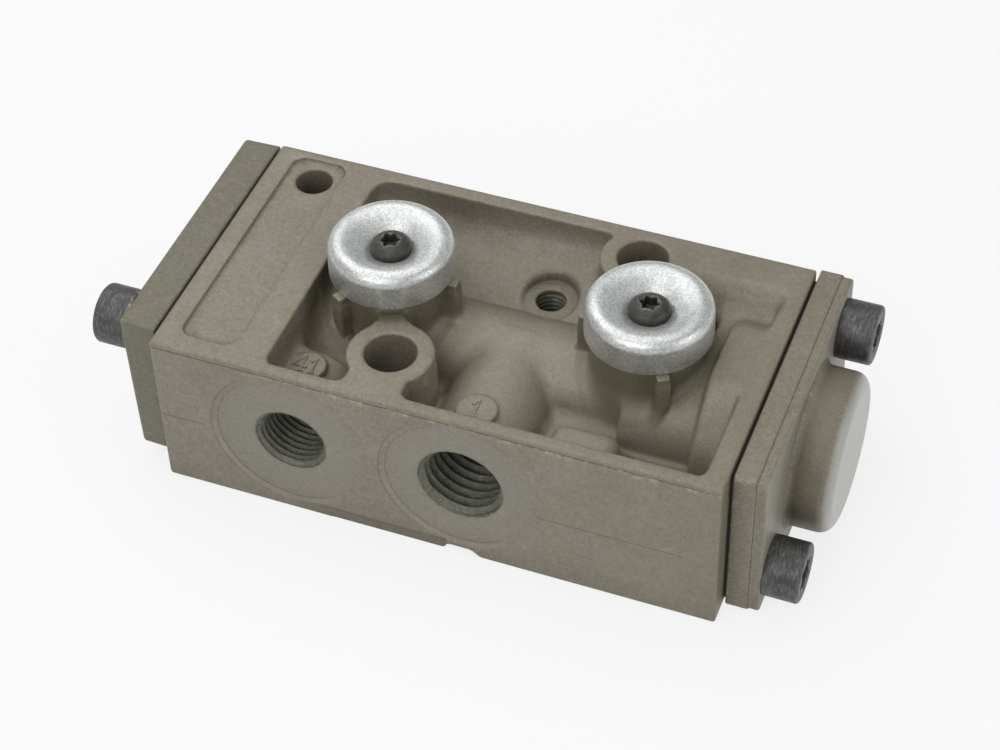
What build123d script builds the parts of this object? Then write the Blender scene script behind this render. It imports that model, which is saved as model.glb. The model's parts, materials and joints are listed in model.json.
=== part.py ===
from build123d import *
import math
import os

os.makedirs("parts", exist_ok=True)

# Five-way two-position spool valve, in millimetres.
# X runs along the spool, -Y is the port face, +Z is up.
# The origin is the centre of the body's bottom face.

# Body casting
body_length = 80.0
body_width = 43.5
body_height = 25.8
edge_round = 0.5

# Spool housing inside the top pocket; the spool's axis is at mid height
axis_offset = 1.8
housing_radius = 8.0
spring_housing_radius = 11.1
spring_housing_length = 18.5
spring_housing_round = 0.7
end_ring_radius = 14.0
end_ring_length = 7.7
end_ring_round = 0.9
rib_depth = 6.5
rib_round = 1.4

# Top pocket
left_land = 15.85
right_wall = 2.3
front_wall = 1.95
back_wall = 1.9
pocket_corner = 1.6
pocket_floor_rise = 1.7
pilot_floor_rise = 4.1
rear_floor_rise = 6.85
rear_floor_tilt = 0.07
rear_fillet = 2.5
left_fillet = 3.2
trough_depth = 3.2
trough_length = 10.5
trough_wall = 3.0
rear_land_width = 5.85
ledge_length = 7.5
ledge_depth = 9.2
ledge_rise = 6.5
ledge_round = 0.9
lean_top = 0.9
lean_slope = 0.2

# Recessed panel on the left land
panel_front_margin = 3.1
panel_back_margin = 1.6
panel_left_margin = 3.1
panel_right_margin = 4.65
panel_depth = 0.4
panel_corner = 1.8

# Front ports, placed from the middle of the spool stack and from the left end
supply_offset_x = 0.125
supply_rise = 0.55
supply_thread = 12.0
supply_pitch = 1.5
supply_depth = 11.0
supply_mouth = 12.2
supply_duct = 6.5
supply_boss_radius = 7.45
pilot_from_left = 19.6
pilot_rise = 0.3
pilot_thread = 10.0
pilot_pitch = 1.0
pilot_depth = 10.0
pilot_mouth = 10.6
pilot_boss_radius = 7.2
pilot_boss_length = 11.5
pilot_duct = 2.6
pilot_duct_inset = 8.25
slot_depth = 1.4
spot_face_radius = 10.8
spot_face_depth = 0.35

# Numbered pads on the port bosses
supply_pad_radius = 2.85
supply_pad_inset = 7.15
pilot_pad_radius = 2.6
pilot_pad_inset = 7.65
pad_rise = 0.6

# Bolt holes through the body
bolt_hole_radius = 3.56
bolt_boss_radius = 5.95
boss_neck_width = 8.3
front_bolt_from_left = 31.3
front_bolt_inset = 9.15
rear_bolt_from_right = 23.1
rear_bolt_inset = 5.65
left_hole_radius = 2.6
left_hole_from_left = 7.4
left_hole_inset = 5.45
web_width = 3.4

# Tapped hole behind the housing
tapped_radius = 2.05
tapped_offset_x = 1.125
tapped_offset_y = 9.5
tapped_depth = 7.5
tapped_face_radius = 3.8
tapped_face_drop = 1.45

# Exhaust chimneys
exhaust_from_left = 25.65
exhaust_from_right = 17.5
chimney_radius = 7.6
chimney_rise = 0.8
chimney_recess_radius = 6.2
chimney_recess_depth = 3.6
post_radius = 2.6
duct_angles = (60, 120, 240, 300)
duct_radius = 1.5
duct_ring = 4.3
fin_radius = 9.7
fin_width = 1.8
fin_drop = 7.7
fin_slant = 1.4
fin_angles_left = (0, 120, 240)
fin_angles_right = (60, 180, 300)

# Exhaust cups, flaps and screws
cup_lift = 1.2
cup_radius = 8.7
cup_wall = 0.8
cup_height = 5.3
cup_rim = 2.2
cup_dish = 2.3
cup_floor_radius = 3.3
flap_thickness = 1.0
flap_inset = 0.3
cup_screw_radius = 1.5
cup_screw_length = 7.5
cup_head_radius = 2.8
cup_head_height = 1.8

# Underside
outlet_radius = 3.2
outlet_depth = 4.8
outlet_duct_radius = 2.4
outlet_seal_radius = 4.3
outlet_seal_section = 1.3
notch_width = 6.4
notch_shift = 0.4
notch_height = 1.9
notch_depth = 3.0
strip_from_left = 18.4
strip_height = 2.1
strip_depth = 0.4

# Spool, seals and spacers
spool_radius = 5.0
spool_waist = 2.9
spool_stroke = 4.6
sliding_gap = 0.12
seal_width = 1.8
stack_radius = 6.5
spacer_wall = 1.1
spacer_window = 1.6
window_count = 6
fit_gap = 0.03
stub_radius = 3.0
stub_length = 3.4
shoulder_gap = 0.6

# Pilot piston
piston_bore = 7.0
piston_length = 6.0
piston_nub_radius = 2.5
piston_nub_length = 0.6
piston_socket = 2.4
piston_seal_width = 1.8
piston_seal_section = 1.4

# Spring end
spring_bore = 8.3
retainer_thickness = 1.0
snap_ring_radial = 1.9
snap_ring_thickness = 1.0
snap_ring_grip = 0.45
seat_radius = 6.8
seat_thickness = 1.4
spring_radius = 5.3
spring_wire = 0.6
spring_turns = 6.0
spring_guide_radius = 4.0
spring_guide_length = 4.0

# End covers and gaskets
left_gasket = 0.25
left_cover_thickness = 5.1
left_cover_front = 2.35
left_cover_back = 0.0
left_cover_bottom = 1.6
left_cover_top = 0.0
left_cover_corner = 1.4
right_gasket = 0.4
right_cover_thickness = 4.6
right_cover_front = 3.3
right_cover_overhang = 1.3
right_cover_bottom = 0.0
right_cover_top = 0.6
right_cover_corner = 1.2
right_cover_lip = 1.5
right_cover_lip_inset = 0.2
dome_radius = 11.15
dome_length = 6.25
dome_round = 2.05
dome_wall = 1.6
dome_base = 0.8
gasket_inset = 0.5

# Cover screws
cover_screw_radius = 2.5
cover_screw_reach = 8.5
cover_head_radius = 4.2
cover_head_height = 5.0
cover_head_edge = 0.5
screw_clearance = 0.2
thread_gap = 0.05
left_screw_front = 6.95
left_screw_back = 11.85
left_screw_top = 4.0
left_screw_bottom = 6.0
right_screw_inset = 3.95
right_screw_edge = 5.8

# Sizes worked out from the ones above
half_length = body_length / 2
half_width = body_width / 2
front_y = -half_width
back_y = half_width
axis_y = axis_offset
axis_z = body_height / 2
spring_housing_start = half_length - spring_housing_length
end_ring_start = half_length - end_ring_length
pocket_left = -half_length + left_land
pocket_right = half_length - right_wall
pocket_front = front_y + front_wall
pocket_back = back_y - back_wall
pocket_floor_z = axis_z + pocket_floor_rise
pilot_floor_z = axis_z + pilot_floor_rise
rear_floor_z = axis_z + rear_floor_rise
ledge_z = axis_z + ledge_rise
trough_floor_z = body_height - trough_depth
trough_start = half_length - trough_length
rear_land_front = back_y - rear_land_width
front_bolt_x = -half_length + front_bolt_from_left
front_bolt_y = front_y + front_bolt_inset
rear_bolt_x = half_length - rear_bolt_from_right
rear_bolt_y = back_y - rear_bolt_inset
left_hole_x = -half_length + left_hole_from_left
left_hole_y = back_y - left_hole_inset
exhaust_left_x = -half_length + exhaust_from_left
exhaust_right_x = half_length - exhaust_from_right
stack_centre = (exhaust_right_x + exhaust_left_x) / 2
supply_x = stack_centre + supply_offset_x
supply_z = axis_z + supply_rise
pilot_x = -half_length + pilot_from_left
pilot_z = axis_z + pilot_rise
pilot_duct_y = front_y + pilot_duct_inset
supply_pad_y = front_y + supply_pad_inset
pilot_pad_y = front_y + pilot_pad_inset
tapped_x = stack_centre + tapped_offset_x
tapped_y = axis_y + tapped_offset_y
notch_left = supply_x + notch_shift - notch_width / 2
notch_right = notch_left + notch_width
strip_left = -half_length + strip_from_left
supply_bore_radius = supply_thread / 2 - 0.541 * supply_pitch
pilot_bore_radius = pilot_thread / 2 - 0.541 * pilot_pitch
cup_bottom_z = body_height + cup_lift
chimney_top_z = body_height + chimney_rise
cup_floor_z = cup_bottom_z + cup_height - cup_dish
post_top_z = cup_floor_z - cup_wall
port_pitch = (exhaust_right_x - exhaust_left_x) / 4
outlet_left_x = stack_centre - port_pitch
outlet_right_x = stack_centre + port_pitch
seal_centres = [stack_centre + (i - 2.5) * port_pitch for i in range(6)]
stack_start = seal_centres[0] - seal_width / 2
stack_end = seal_centres[-1] + seal_width / 2
left_face = -half_length - left_gasket
right_face = half_length + right_gasket
piston_left = left_face + piston_nub_length
piston_right = piston_left + piston_length
piston_bore_end = piston_right + spool_stroke + sliding_gap
dome_inner_x = right_face + right_cover_thickness + dome_length - dome_wall
seal_bore = spool_radius + sliding_gap
snap_ring_start = stack_end + retainer_thickness
spool_shoulder_x = snap_ring_start + snap_ring_thickness + shoulder_gap
left_screws = [
    (front_y + left_screw_front, body_height - left_screw_top),
    (back_y - left_screw_back, left_screw_bottom),
]
right_screw_y = back_y - right_screw_inset - axis_y
right_screw_z = axis_z - right_screw_edge
right_screws = [(axis_y + s * right_screw_y, axis_z + s * right_screw_z) for s in (1, -1)]


# Solids placed by their limits and along a named axis
def block(x0, x1, y0, y1, z0, z1):
    size = Box(x1 - x0, y1 - y0, z1 - z0)
    return Pos((x0 + x1) / 2, (y0 + y1) / 2, (z0 + z1) / 2) * size


def rod_x(radius, x0, x1, y=axis_y, z=axis_z):
    return Pos((x0 + x1) / 2, y, z) * Rot(0, 90, 0) * Cylinder(radius, x1 - x0)


def rod_y(radius, y0, y1, x, z):
    return Pos(x, (y0 + y1) / 2, z) * Rot(90, 0, 0) * Cylinder(radius, y1 - y0)


def rod_z(radius, z0, z1, x, y):
    return Pos(x, y, (z0 + z1) / 2) * Cylinder(radius, z1 - z0)


def ring_x(outer, inner, x0, x1):
    return rod_x(outer, x0, x1) - rod_x(inner, x0, x1)


# Six-lobed driver recess, cut down from the origin
def lobed_recess(radius, depth):
    recess = Pos(0, 0, -depth / 2) * Cylinder(radius * 0.72, depth)
    for i in range(6):
        lobe = Pos(radius * 0.76, 0, -depth / 2) * Cylinder(radius * 0.24, depth)
        recess += Rot(0, 0, 60 * i) * lobe
    return recess


# Outline of the pocket at the top face: a rectangle less the rear land and the bosses
def pocket_outline():
    outline = Pos(pocket_left, pocket_front) * Rectangle(
        pocket_right - pocket_left, pocket_back - pocket_front, align=(Align.MIN, Align.MIN)
    )
    land_width = pocket_back - rear_land_front + 1
    land = Rectangle(half_length, land_width, align=(Align.MIN, Align.MIN))
    outline -= Pos(rear_bolt_x, rear_land_front) * land
    outline -= Pos(rear_bolt_x, rear_bolt_y) * Circle(bolt_boss_radius)
    outline -= Pos(front_bolt_x, front_bolt_y) * Circle(bolt_boss_radius)
    neck = Rectangle(boss_neck_width, front_bolt_inset, align=(Align.CENTER, Align.MIN))
    outline -= Pos(front_bolt_x, front_y) * neck
    return fillet(outline.vertices(), pocket_corner)


# Bridge at top height from the front bolt boss to the left chimney
def boss_web():
    dx = exhaust_left_x - front_bolt_x
    dy = axis_y - front_bolt_y
    angle = math.degrees(math.atan2(dy, dx))
    length = math.hypot(dx, dy)
    web = Box(length, web_width, body_height - pocket_floor_z, align=(Align.MIN, Align.CENTER, Align.MIN))
    return Pos(front_bolt_x, front_bolt_y, pocket_floor_z) * Rot(0, 0, angle) * web


# Floor behind the housing, rising to a cove at the back wall, and the raised end trough
def rear_floor():
    back_floor_z = rear_floor_z + rear_floor_tilt * (pocket_back - axis_y)
    floor_line = Polyline(
        (axis_y, pocket_floor_z),
        (pocket_back, pocket_floor_z),
        (pocket_back, back_floor_z),
        (axis_y, rear_floor_z),
        close=True,
    )
    floor = Pos(pocket_left, 0, 0) * extrude(Plane.YZ * make_face(floor_line), trough_start - pocket_left)
    cove_z = back_floor_z + rear_fillet
    cove_y = pocket_back - rear_fillet
    corner = block(pocket_left, rear_bolt_x, cove_y, pocket_back, rear_floor_z, cove_z)
    floor += corner - rod_x(rear_fillet, pocket_left, rear_bolt_x, cove_y, cove_z)
    floor += block(trough_start, pocket_right, axis_y, rear_land_front, pocket_floor_z, trough_floor_z)
    slope_line = Polyline(
        (rear_land_front, trough_floor_z),
        (rear_land_front, body_height),
        (rear_land_front - trough_wall, trough_floor_z),
        close=True,
    )
    slope = extrude(Plane.YZ * make_face(slope_line), pocket_right - trough_start)
    return floor + Pos(trough_start, 0, 0) * slope


# Step of the spool housing, with its left edge rounded
def housing_step(radius, start, edge):
    step = rod_x(radius, start, half_length)
    return fillet(step.edges().filter_by(GeomType.CIRCLE).sort_by(Axis.X)[0], edge)


# Block behind the end ring, its rear top edge rounded
def end_rib():
    rib = block(end_ring_start, half_length, axis_y, axis_y + rib_depth, pocket_floor_z, body_height)
    top_edges = rib.edges().filter_by(Axis.X).group_by(Axis.Z)[-1]
    return fillet(top_edges.sort_by(Axis.Y)[-1], rib_round)


# Cove from one of the left floors up into the left wall
def left_cove(floor_z, y0, y1):
    x1 = pocket_left + left_fillet
    z1 = floor_z + left_fillet
    return block(pocket_left - 1, x1, y0, y1, floor_z - 1, z1) - rod_y(left_fillet, y0, y1, x1, z1)


# Right wall, leaning in towards the floor
def leaning_wall():
    x_top = pocket_right - lean_top
    x_low = x_top - lean_slope * (body_height - pocket_floor_z)
    line = Polyline(
        (x_low, pocket_floor_z), (pocket_right + 1, pocket_floor_z), (pocket_right + 1, body_height),
        (x_top + 0.5, body_height), (x_top, body_height - 1), close=True,
    )
    wall = extrude(Plane.XZ * make_face(line), body_width)
    return Pos(0, half_width, 0) * wall


# Block on the front wall beside the spring housing
def front_ledge():
    ledge_left = spring_housing_start - ledge_length
    back = pocket_front + ledge_depth
    ledge = block(ledge_left, spring_housing_start, front_y + 0.1, back, pocket_floor_z - 1, ledge_z)
    edges = ledge.faces().sort_by(Axis.Z)[-1].edges().sort_by(Axis.Y)[1:]
    return fillet(edges, ledge_round)


# Everything that stands in the pocket below the top face
def pocket_forms():
    forms = rod_x(housing_radius, pocket_left, pocket_right)
    forms += housing_step(spring_housing_radius, spring_housing_start, spring_housing_round)
    forms += housing_step(end_ring_radius, end_ring_start, end_ring_round)
    forms += end_rib()
    forms += rear_floor()
    forms += left_cove(rear_floor_z, axis_y, pocket_back)
    forms += left_cove(pilot_floor_z, front_y + pilot_boss_length, axis_y - housing_radius / 2)
    forms += leaning_wall()
    forms += rod_y(supply_boss_radius, front_y + edge_round, axis_y, supply_x, supply_z)
    forms += rod_y(pilot_boss_radius, front_y + edge_round, front_y + pilot_boss_length, pilot_x, pilot_z)
    forms += front_ledge()
    forms += block(pocket_left, front_bolt_x, pocket_front, axis_y, pocket_floor_z, pilot_floor_z)
    forms += boss_web()
    front = front_y + edge_round
    back = back_y - edge_round
    inside = block(pocket_left - 1, pocket_right + 1, front, back, pocket_floor_z - 1, body_height)
    return forms & inside


# Raised round pads that carry the port numbers
def number_pads():
    supply_top = supply_z + supply_boss_radius + pad_rise
    pilot_top = pilot_z + pilot_boss_radius + pad_rise
    pads = rod_z(supply_pad_radius, supply_z, supply_top, supply_x, supply_pad_y)
    pads += rod_z(pilot_pad_radius, pilot_z, pilot_top, pilot_x, pilot_pad_y)
    return pads


# A fin that carries the cup, its underside slanting up and out
def fin():
    low = cup_bottom_z - fin_drop
    line = Polyline(
        (0, cup_bottom_z), (0, low), (chimney_radius, low), (fin_radius, low + fin_slant),
        (fin_radius, cup_bottom_z), close=True,
    )
    return extrude(Plane.XZ * make_face(line), fin_width / 2, both=True)


# One exhaust chimney with its fins
def chimney(x, fin_angles):
    tower = rod_z(chimney_radius, axis_z, chimney_top_z, x, axis_y)
    for angle in fin_angles:
        tower += Pos(x, axis_y, 0) * Rot(0, 0, angle) * fin()
    tower -= rod_z(chimney_radius, chimney_top_z, cup_bottom_z + 1, x, axis_y)
    tower += rod_z(post_radius, chimney_top_z - 1, post_top_z, x, axis_y)
    return tower


# Annular recess, ducts down to the bore and the tapped post of one chimney
def chimney_passages(x):
    floor_z = chimney_top_z - chimney_recess_depth
    cut = rod_z(chimney_recess_radius, floor_z, chimney_top_z, x, axis_y)
    cut -= rod_z(post_radius, floor_z, chimney_top_z, x, axis_y)
    for angle in duct_angles:
        duct_x = x + duct_ring * math.cos(math.radians(angle))
        duct_y = axis_y + duct_ring * math.sin(math.radians(angle))
        cut += rod_z(duct_radius, axis_z, floor_z, duct_x, duct_y)
    thread_depth = cup_screw_length - cup_wall + 0.5
    cut += rod_z(cup_screw_radius + thread_gap, post_top_z - thread_depth, post_top_z, x, axis_y)
    return cut


# Stepped bore along X for the piston, the spool stack and the spring
def spool_bore():
    bore = rod_x(piston_bore, -half_length, piston_bore_end)
    bore += rod_x(seal_bore, piston_bore_end, stack_start)
    bore += rod_x(stack_radius, stack_start, stack_end)
    bore += rod_x(spring_bore, stack_end, half_length)
    groove_radius = spring_bore + snap_ring_grip
    bore += rod_x(groove_radius, snap_ring_start, snap_ring_start + snap_ring_thickness)
    return bore


# A front port: spot face, mouth chamfer, thread bore
def port_cut(x, z, bore_radius, mouth, depth):
    cut = rod_y(spot_face_radius, front_y - 1, front_y + spot_face_depth, x, z)
    cut += rod_y(bore_radius, front_y, front_y + depth, x, z)
    chamfer_depth = mouth / 2 - bore_radius
    face_y = front_y + spot_face_depth
    cone = Rot(-90, 0, 0) * Cone(mouth / 2, bore_radius, chamfer_depth)
    return cut + Pos(x, face_y + chamfer_depth / 2, z) * cone


def port_passages():
    cut = port_cut(supply_x, supply_z, supply_bore_radius, supply_mouth, supply_depth)
    cut += rod_y(supply_duct / 2, front_y + supply_depth, axis_y - stack_radius + 1, supply_x, axis_z)
    cut += port_cut(pilot_x, pilot_z, pilot_bore_radius, pilot_mouth, pilot_depth)
    cut += rod_x(pilot_duct / 2, -half_length, pilot_x, pilot_duct_y, axis_z)
    return cut


# Outlet ports with their seal grooves on the underside
def outlet_cut(x):
    cut = rod_z(outlet_radius, 0, outlet_depth, x, axis_y)
    cut += rod_z(outlet_duct_radius, outlet_depth, axis_z, x, axis_y)
    outer = outlet_seal_radius + outlet_seal_section / 2
    inner = outlet_seal_radius - outlet_seal_section / 2
    groove = rod_z(outer, 0, outlet_seal_section, x, axis_y)
    groove -= rod_z(inner, 0, outlet_seal_section, x, axis_y)
    return cut + groove


# Notch and set-back strip along the front bottom edge
def bottom_edge_cut():
    notch = extrude(
        Plane.XZ * Polygon(
            (notch_left, -1),
            (notch_right + 0.6, -1),
            (notch_right - 1.2, notch_height),
            (notch_left + 0.5, notch_height),
            (notch_left, notch_height - 0.8),
            align=None,
        ),
        notch_depth,
    )
    notch = Pos(0, front_y + notch_depth, 0) * notch
    strip = block(strip_left, notch_left + 0.5, front_y - 1, front_y + strip_depth, -1, strip_height)
    return notch + strip


def screw_holes():
    holes = None
    for y, z in left_screws:
        hole = rod_x(cover_screw_radius + thread_gap, -half_length, -half_length + cover_screw_reach, y, z)
        holes = hole if holes is None else holes + hole
    for y, z in right_screws:
        holes += rod_x(cover_screw_radius + thread_gap, half_length - cover_screw_reach, half_length, y, z)
    return holes


def bolt_holes():
    holes = rod_z(bolt_hole_radius, 0, body_height, front_bolt_x, front_bolt_y)
    holes += rod_z(bolt_hole_radius, 0, body_height, rear_bolt_x, rear_bolt_y)
    holes += rod_z(left_hole_radius, 0, body_height, left_hole_x, left_hole_y)
    face_z = rear_floor_z - tapped_face_drop
    holes += rod_z(tapped_radius, face_z - tapped_depth, face_z, tapped_x, tapped_y)
    holes += rod_z(tapped_face_radius, face_z, face_z + 5, tapped_x, tapped_y)
    return holes


# Shallow recess in the left land
def land_panel():
    panel = block(
        -half_length + panel_left_margin,
        pocket_left - panel_right_margin,
        front_y + panel_front_margin,
        back_y - panel_back_margin,
        body_height - panel_depth,
        body_height + 1,
    )
    return fillet(panel.edges().filter_by(Axis.Z), panel_corner)


def valve_body():
    body = block(-half_length, half_length, front_y, back_y, 0, body_height)
    body = fillet(body.edges().filter_by(Axis.Z), edge_round * 1.6)
    body = fillet(body.faces().sort_by(Axis.Z)[-1].edges(), edge_round)
    body = chamfer(body.faces().sort_by(Axis.Z)[0].edges(), edge_round * 0.6)
    body -= extrude(Pos(0, 0, pocket_floor_z) * pocket_outline(), body_height - pocket_floor_z)
    body += pocket_forms()
    body += number_pads()
    body += chimney(exhaust_left_x, fin_angles_left)
    body += chimney(exhaust_right_x, fin_angles_right)
    body -= land_panel()
    body -= spool_bore()
    body -= port_passages()
    body -= bolt_holes()
    body -= screw_holes()
    body -= bottom_edge_cut()
    for x in (exhaust_left_x, exhaust_right_x):
        body -= chimney_passages(x)
    for x in (outlet_left_x, outlet_right_x):
        body -= outlet_cut(x)
    return body


# Flat cover on the left, with the slot that joins the pilot duct to the piston chamber
def left_end_cover():
    x0 = left_face - left_cover_thickness
    y0 = front_y + left_cover_front
    y1 = back_y - left_cover_back
    z1 = body_height - left_cover_top
    plate = block(x0, left_face, y0, y1, left_cover_bottom, z1)
    plate = fillet(plate.edges().filter_by(Axis.X), left_cover_corner)
    plate = fillet(plate.faces().sort_by(Axis.X)[0].edges(), edge_round * 1.6)
    slot_half = pilot_duct / 2
    slot_y1 = axis_y - piston_bore + pilot_duct
    slot = rod_x(slot_half, left_face - slot_depth, left_face, pilot_duct_y)
    slot += block(
        left_face - slot_depth, left_face, pilot_duct_y, slot_y1, axis_z - slot_half, axis_z + slot_half
    )
    plate -= slot
    for y, z in left_screws:
        plate -= rod_x(cover_screw_radius + screw_clearance, x0, left_face, y, z)
    return plate


# Cover with the round boss that houses the return spring; its outer lip steps in
def right_end_cover():
    x1 = right_face + right_cover_thickness
    x2 = x1 + dome_length
    y0 = front_y + right_cover_front
    y1 = back_y + right_cover_overhang
    z1 = body_height - right_cover_top
    lip_x = x1 - right_cover_lip
    lip = right_cover_lip_inset
    plate = block(right_face, lip_x, y0, y1, right_cover_bottom, z1)
    plate = fillet(plate.edges().filter_by(Axis.X), right_cover_corner)
    front = block(right_face, x1, y0 + lip, y1 - lip, right_cover_bottom + lip, z1 - lip)
    front = fillet(front.edges().filter_by(Axis.X), right_cover_corner)
    front = fillet(front.faces().sort_by(Axis.X)[-1].edges(), edge_round)
    dome = rod_x(dome_radius, right_face + 1, x2)
    dome = fillet(dome.faces().sort_by(Axis.X)[-1].edges(), dome_round)
    base = Pos(x1 + dome_base / 2, axis_y, axis_z) * Rot(0, 90, 0) * Cone(
        dome_radius + dome_base, dome_radius, dome_base
    )
    cover = plate + front + dome + base
    cover -= rod_x(spring_bore, right_face, dome_inner_x)
    cover += rod_x(spring_guide_radius, dome_inner_x - spring_guide_length, dome_inner_x + dome_wall / 2)
    for y, z in right_screws:
        cover -= rod_x(cover_screw_radius + screw_clearance, right_face, x1, y, z)
    return cover


# Gaskets, set in a little from the cover's edge
def left_cover_gasket():
    sheet = block(
        left_face,
        -half_length,
        front_y + left_cover_front + gasket_inset,
        back_y - left_cover_back - gasket_inset,
        left_cover_bottom + gasket_inset,
        body_height - left_cover_top - gasket_inset,
    )
    sheet = fillet(sheet.edges().filter_by(Axis.X), left_cover_corner)
    sheet -= rod_x(piston_bore, left_face, -half_length)
    slot_half = pilot_duct / 2
    sheet -= block(
        left_face, -half_length, pilot_duct_y - slot_half, axis_y, axis_z - slot_half, axis_z + slot_half
    )
    for y, z in left_screws:
        sheet -= rod_x(cover_screw_radius + screw_clearance, left_face, -half_length, y, z)
    return sheet


def right_cover_gasket():
    sheet = block(
        half_length,
        right_face,
        front_y + right_cover_front + gasket_inset,
        back_y - gasket_inset,
        right_cover_bottom + gasket_inset,
        body_height - right_cover_top - gasket_inset,
    )
    sheet = fillet(sheet.edges().filter_by(Axis.X), right_cover_corner)
    sheet -= rod_x(spring_bore, half_length, right_face)
    for y, z in right_screws:
        sheet -= rod_x(cover_screw_radius + screw_clearance, half_length, right_face, y, z)
    return sheet


# Socket-head cover screw, head at the origin's +Z side and shank down
def cover_screw(grip):
    head = Pos(0, 0, cover_head_height / 2) * Cylinder(cover_head_radius, cover_head_height)
    head = chamfer(head.faces().sort_by(Axis.Z)[-1].edges(), cover_head_edge)
    shank_length = grip + cover_screw_reach - 0.5
    shank = Pos(0, 0, -shank_length / 2) * Cylinder(cover_screw_radius, shank_length)
    shank = chamfer(shank.faces().sort_by(Axis.Z)[0].edges(), cover_head_edge)
    recess = Pos(0, 0, cover_head_height) * lobed_recess(2.3, 2.8)
    return head + shank - recess


def left_cover_screws():
    grip = left_cover_thickness + left_gasket
    x = left_face - left_cover_thickness
    return [Pos(x, y, z) * Rot(0, -90, 0) * cover_screw(grip) for y, z in left_screws]


def right_cover_screws():
    grip = right_cover_thickness + right_gasket
    x = right_face + right_cover_thickness
    return [Pos(x, y, z) * Rot(0, 90, 0) * cover_screw(grip) for y, z in right_screws]


# Pressed cup: skirt, rounded rim and dished centre, all one wall thick
def exhaust_cup(x):
    rim_r = cup_radius - cup_rim
    skirt_top = cup_height - cup_rim
    dish_r = cup_floor_radius
    hole_r = cup_screw_radius + screw_clearance
    floor = cup_height - cup_dish
    inner_rim = cup_rim - cup_wall
    with BuildSketch(Plane.XZ) as section:
        with BuildLine():
            RadiusArc((cup_radius, skirt_top), (rim_r, cup_height), -cup_rim)
            Line((cup_radius, 0), (cup_radius, skirt_top))
            Spline((rim_r, cup_height), (dish_r, floor), tangents=((-1, 0), (-1, 0)))
            Line((dish_r, floor), (hole_r, floor))
            Line((hole_r, floor), (hole_r, floor - cup_wall))
            Line((hole_r, floor - cup_wall), (dish_r, floor - cup_wall))
            Spline((dish_r, floor - cup_wall), (rim_r, cup_height - cup_wall), tangents=((1, 0), (1, 0)))
            RadiusArc((rim_r, cup_height - cup_wall), (cup_radius - cup_wall, skirt_top), inner_rim)
            Line((cup_radius - cup_wall, skirt_top), (cup_radius - cup_wall, 0))
            Line((cup_radius - cup_wall, 0), (cup_radius, 0))
        make_face()
    return Pos(x, axis_y, cup_bottom_z) * revolve(section.sketch, Axis.Z)


def exhaust_flap(x):
    z1 = chimney_top_z + flap_thickness
    disc = rod_z(chimney_radius - flap_inset, chimney_top_z, z1, x, axis_y)
    return disc - rod_z(post_radius + sliding_gap, chimney_top_z, z1, x, axis_y)


# Button-head screw through the cup into the chimney's post
def exhaust_screw(x):
    dome_r = (cup_head_radius ** 2 + cup_head_height ** 2) / (2 * cup_head_height)
    ball = Pos(0, 0, cup_head_height - dome_r) * Sphere(dome_r)
    head = ball & (Pos(0, 0, cup_head_height / 2) * Cylinder(cup_head_radius, cup_head_height))
    shank_length = cup_screw_length
    shank = Pos(0, 0, -shank_length / 2) * Cylinder(cup_screw_radius, shank_length)
    recess = Pos(0, 0, cup_head_height) * lobed_recess(1.25, 1.2)
    return Pos(x, axis_y, cup_floor_z) * (head + shank - recess)


def outlet_seal(x):
    half = outlet_seal_section / 2
    section = Pos(outlet_seal_radius, half) * RectangleRounded(
        outlet_seal_section - 2 * fit_gap, outlet_seal_section - 2 * fit_gap, half * 0.7
    )
    return Pos(x, axis_y, 0) * revolve(Plane.XZ * section, Axis.Z)


# Spool with three lands: each waist joins one outlet to supply or to exhaust
def spool():
    half_pitch = port_pitch / 2
    half_stroke = spool_stroke / 2
    first_edge = seal_centres[1] - half_stroke
    middle_left = seal_centres[2] - half_stroke
    middle_right = seal_centres[3] - half_stroke
    last_edge = seal_centres[4] - half_stroke
    body = rod_x(spool_radius, piston_right, first_edge)
    body += rod_x(spool_waist, first_edge, middle_left)
    body += rod_x(spool_radius, middle_left, middle_right)
    body += rod_x(spool_waist, middle_right, last_edge)
    body += rod_x(spool_radius, last_edge, spool_shoulder_x)
    body += rod_x(stub_radius, spool_shoulder_x, spool_shoulder_x + stub_length)
    body += rod_x(stub_radius, piston_right - piston_socket, piston_right)
    circles = body.edges().filter_by(GeomType.CIRCLE)
    return chamfer(circles.filter_by(lambda edge: edge.radius > spool_waist + 0.5), 0.4)


# Seal ring with a rounded section, its inner lip just clear of the spool
def seal_ring(centre):
    width = seal_width
    radial = stack_radius - fit_gap - seal_bore
    middle = seal_bore + radial / 2
    section = Pos(centre, middle) * RectangleRounded(width, radial, radial * 0.4)
    ring = revolve(Plane.XY * section, Axis.X)
    return Pos(0, axis_y, axis_z) * ring


# Spacer between two seals, open to its port through a row of windows
def port_spacer(index):
    x0 = seal_centres[index] + seal_width / 2
    x1 = seal_centres[index + 1] - seal_width / 2
    outer = stack_radius - fit_gap
    ring = ring_x(outer, outer - spacer_wall, x0, x1)
    centre = (x0 + x1) / 2
    for i in range(window_count // 2):
        window = Pos(centre, axis_y, axis_z) * Rot(180 / (window_count // 2) * i, 0, 0)
        ring -= window * Cylinder(spacer_window, 3 * stack_radius)
    return ring


def retaining_washer():
    inner = spool_radius + 2 * sliding_gap
    return ring_x(spring_bore - fit_gap, inner, stack_end, stack_end + retainer_thickness)


# Snap ring: an open ring in its groove, with a gap for fitting
def snap_ring():
    x0 = snap_ring_start
    outer = spring_bore + snap_ring_grip - fit_gap
    ring = ring_x(outer, outer - snap_ring_radial, x0, x0 + snap_ring_thickness)
    gap = block(
        x0, x0 + snap_ring_thickness, axis_y - 2, axis_y + 2, axis_z - spring_bore - 2, axis_z - 1
    )
    return ring - gap


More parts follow.
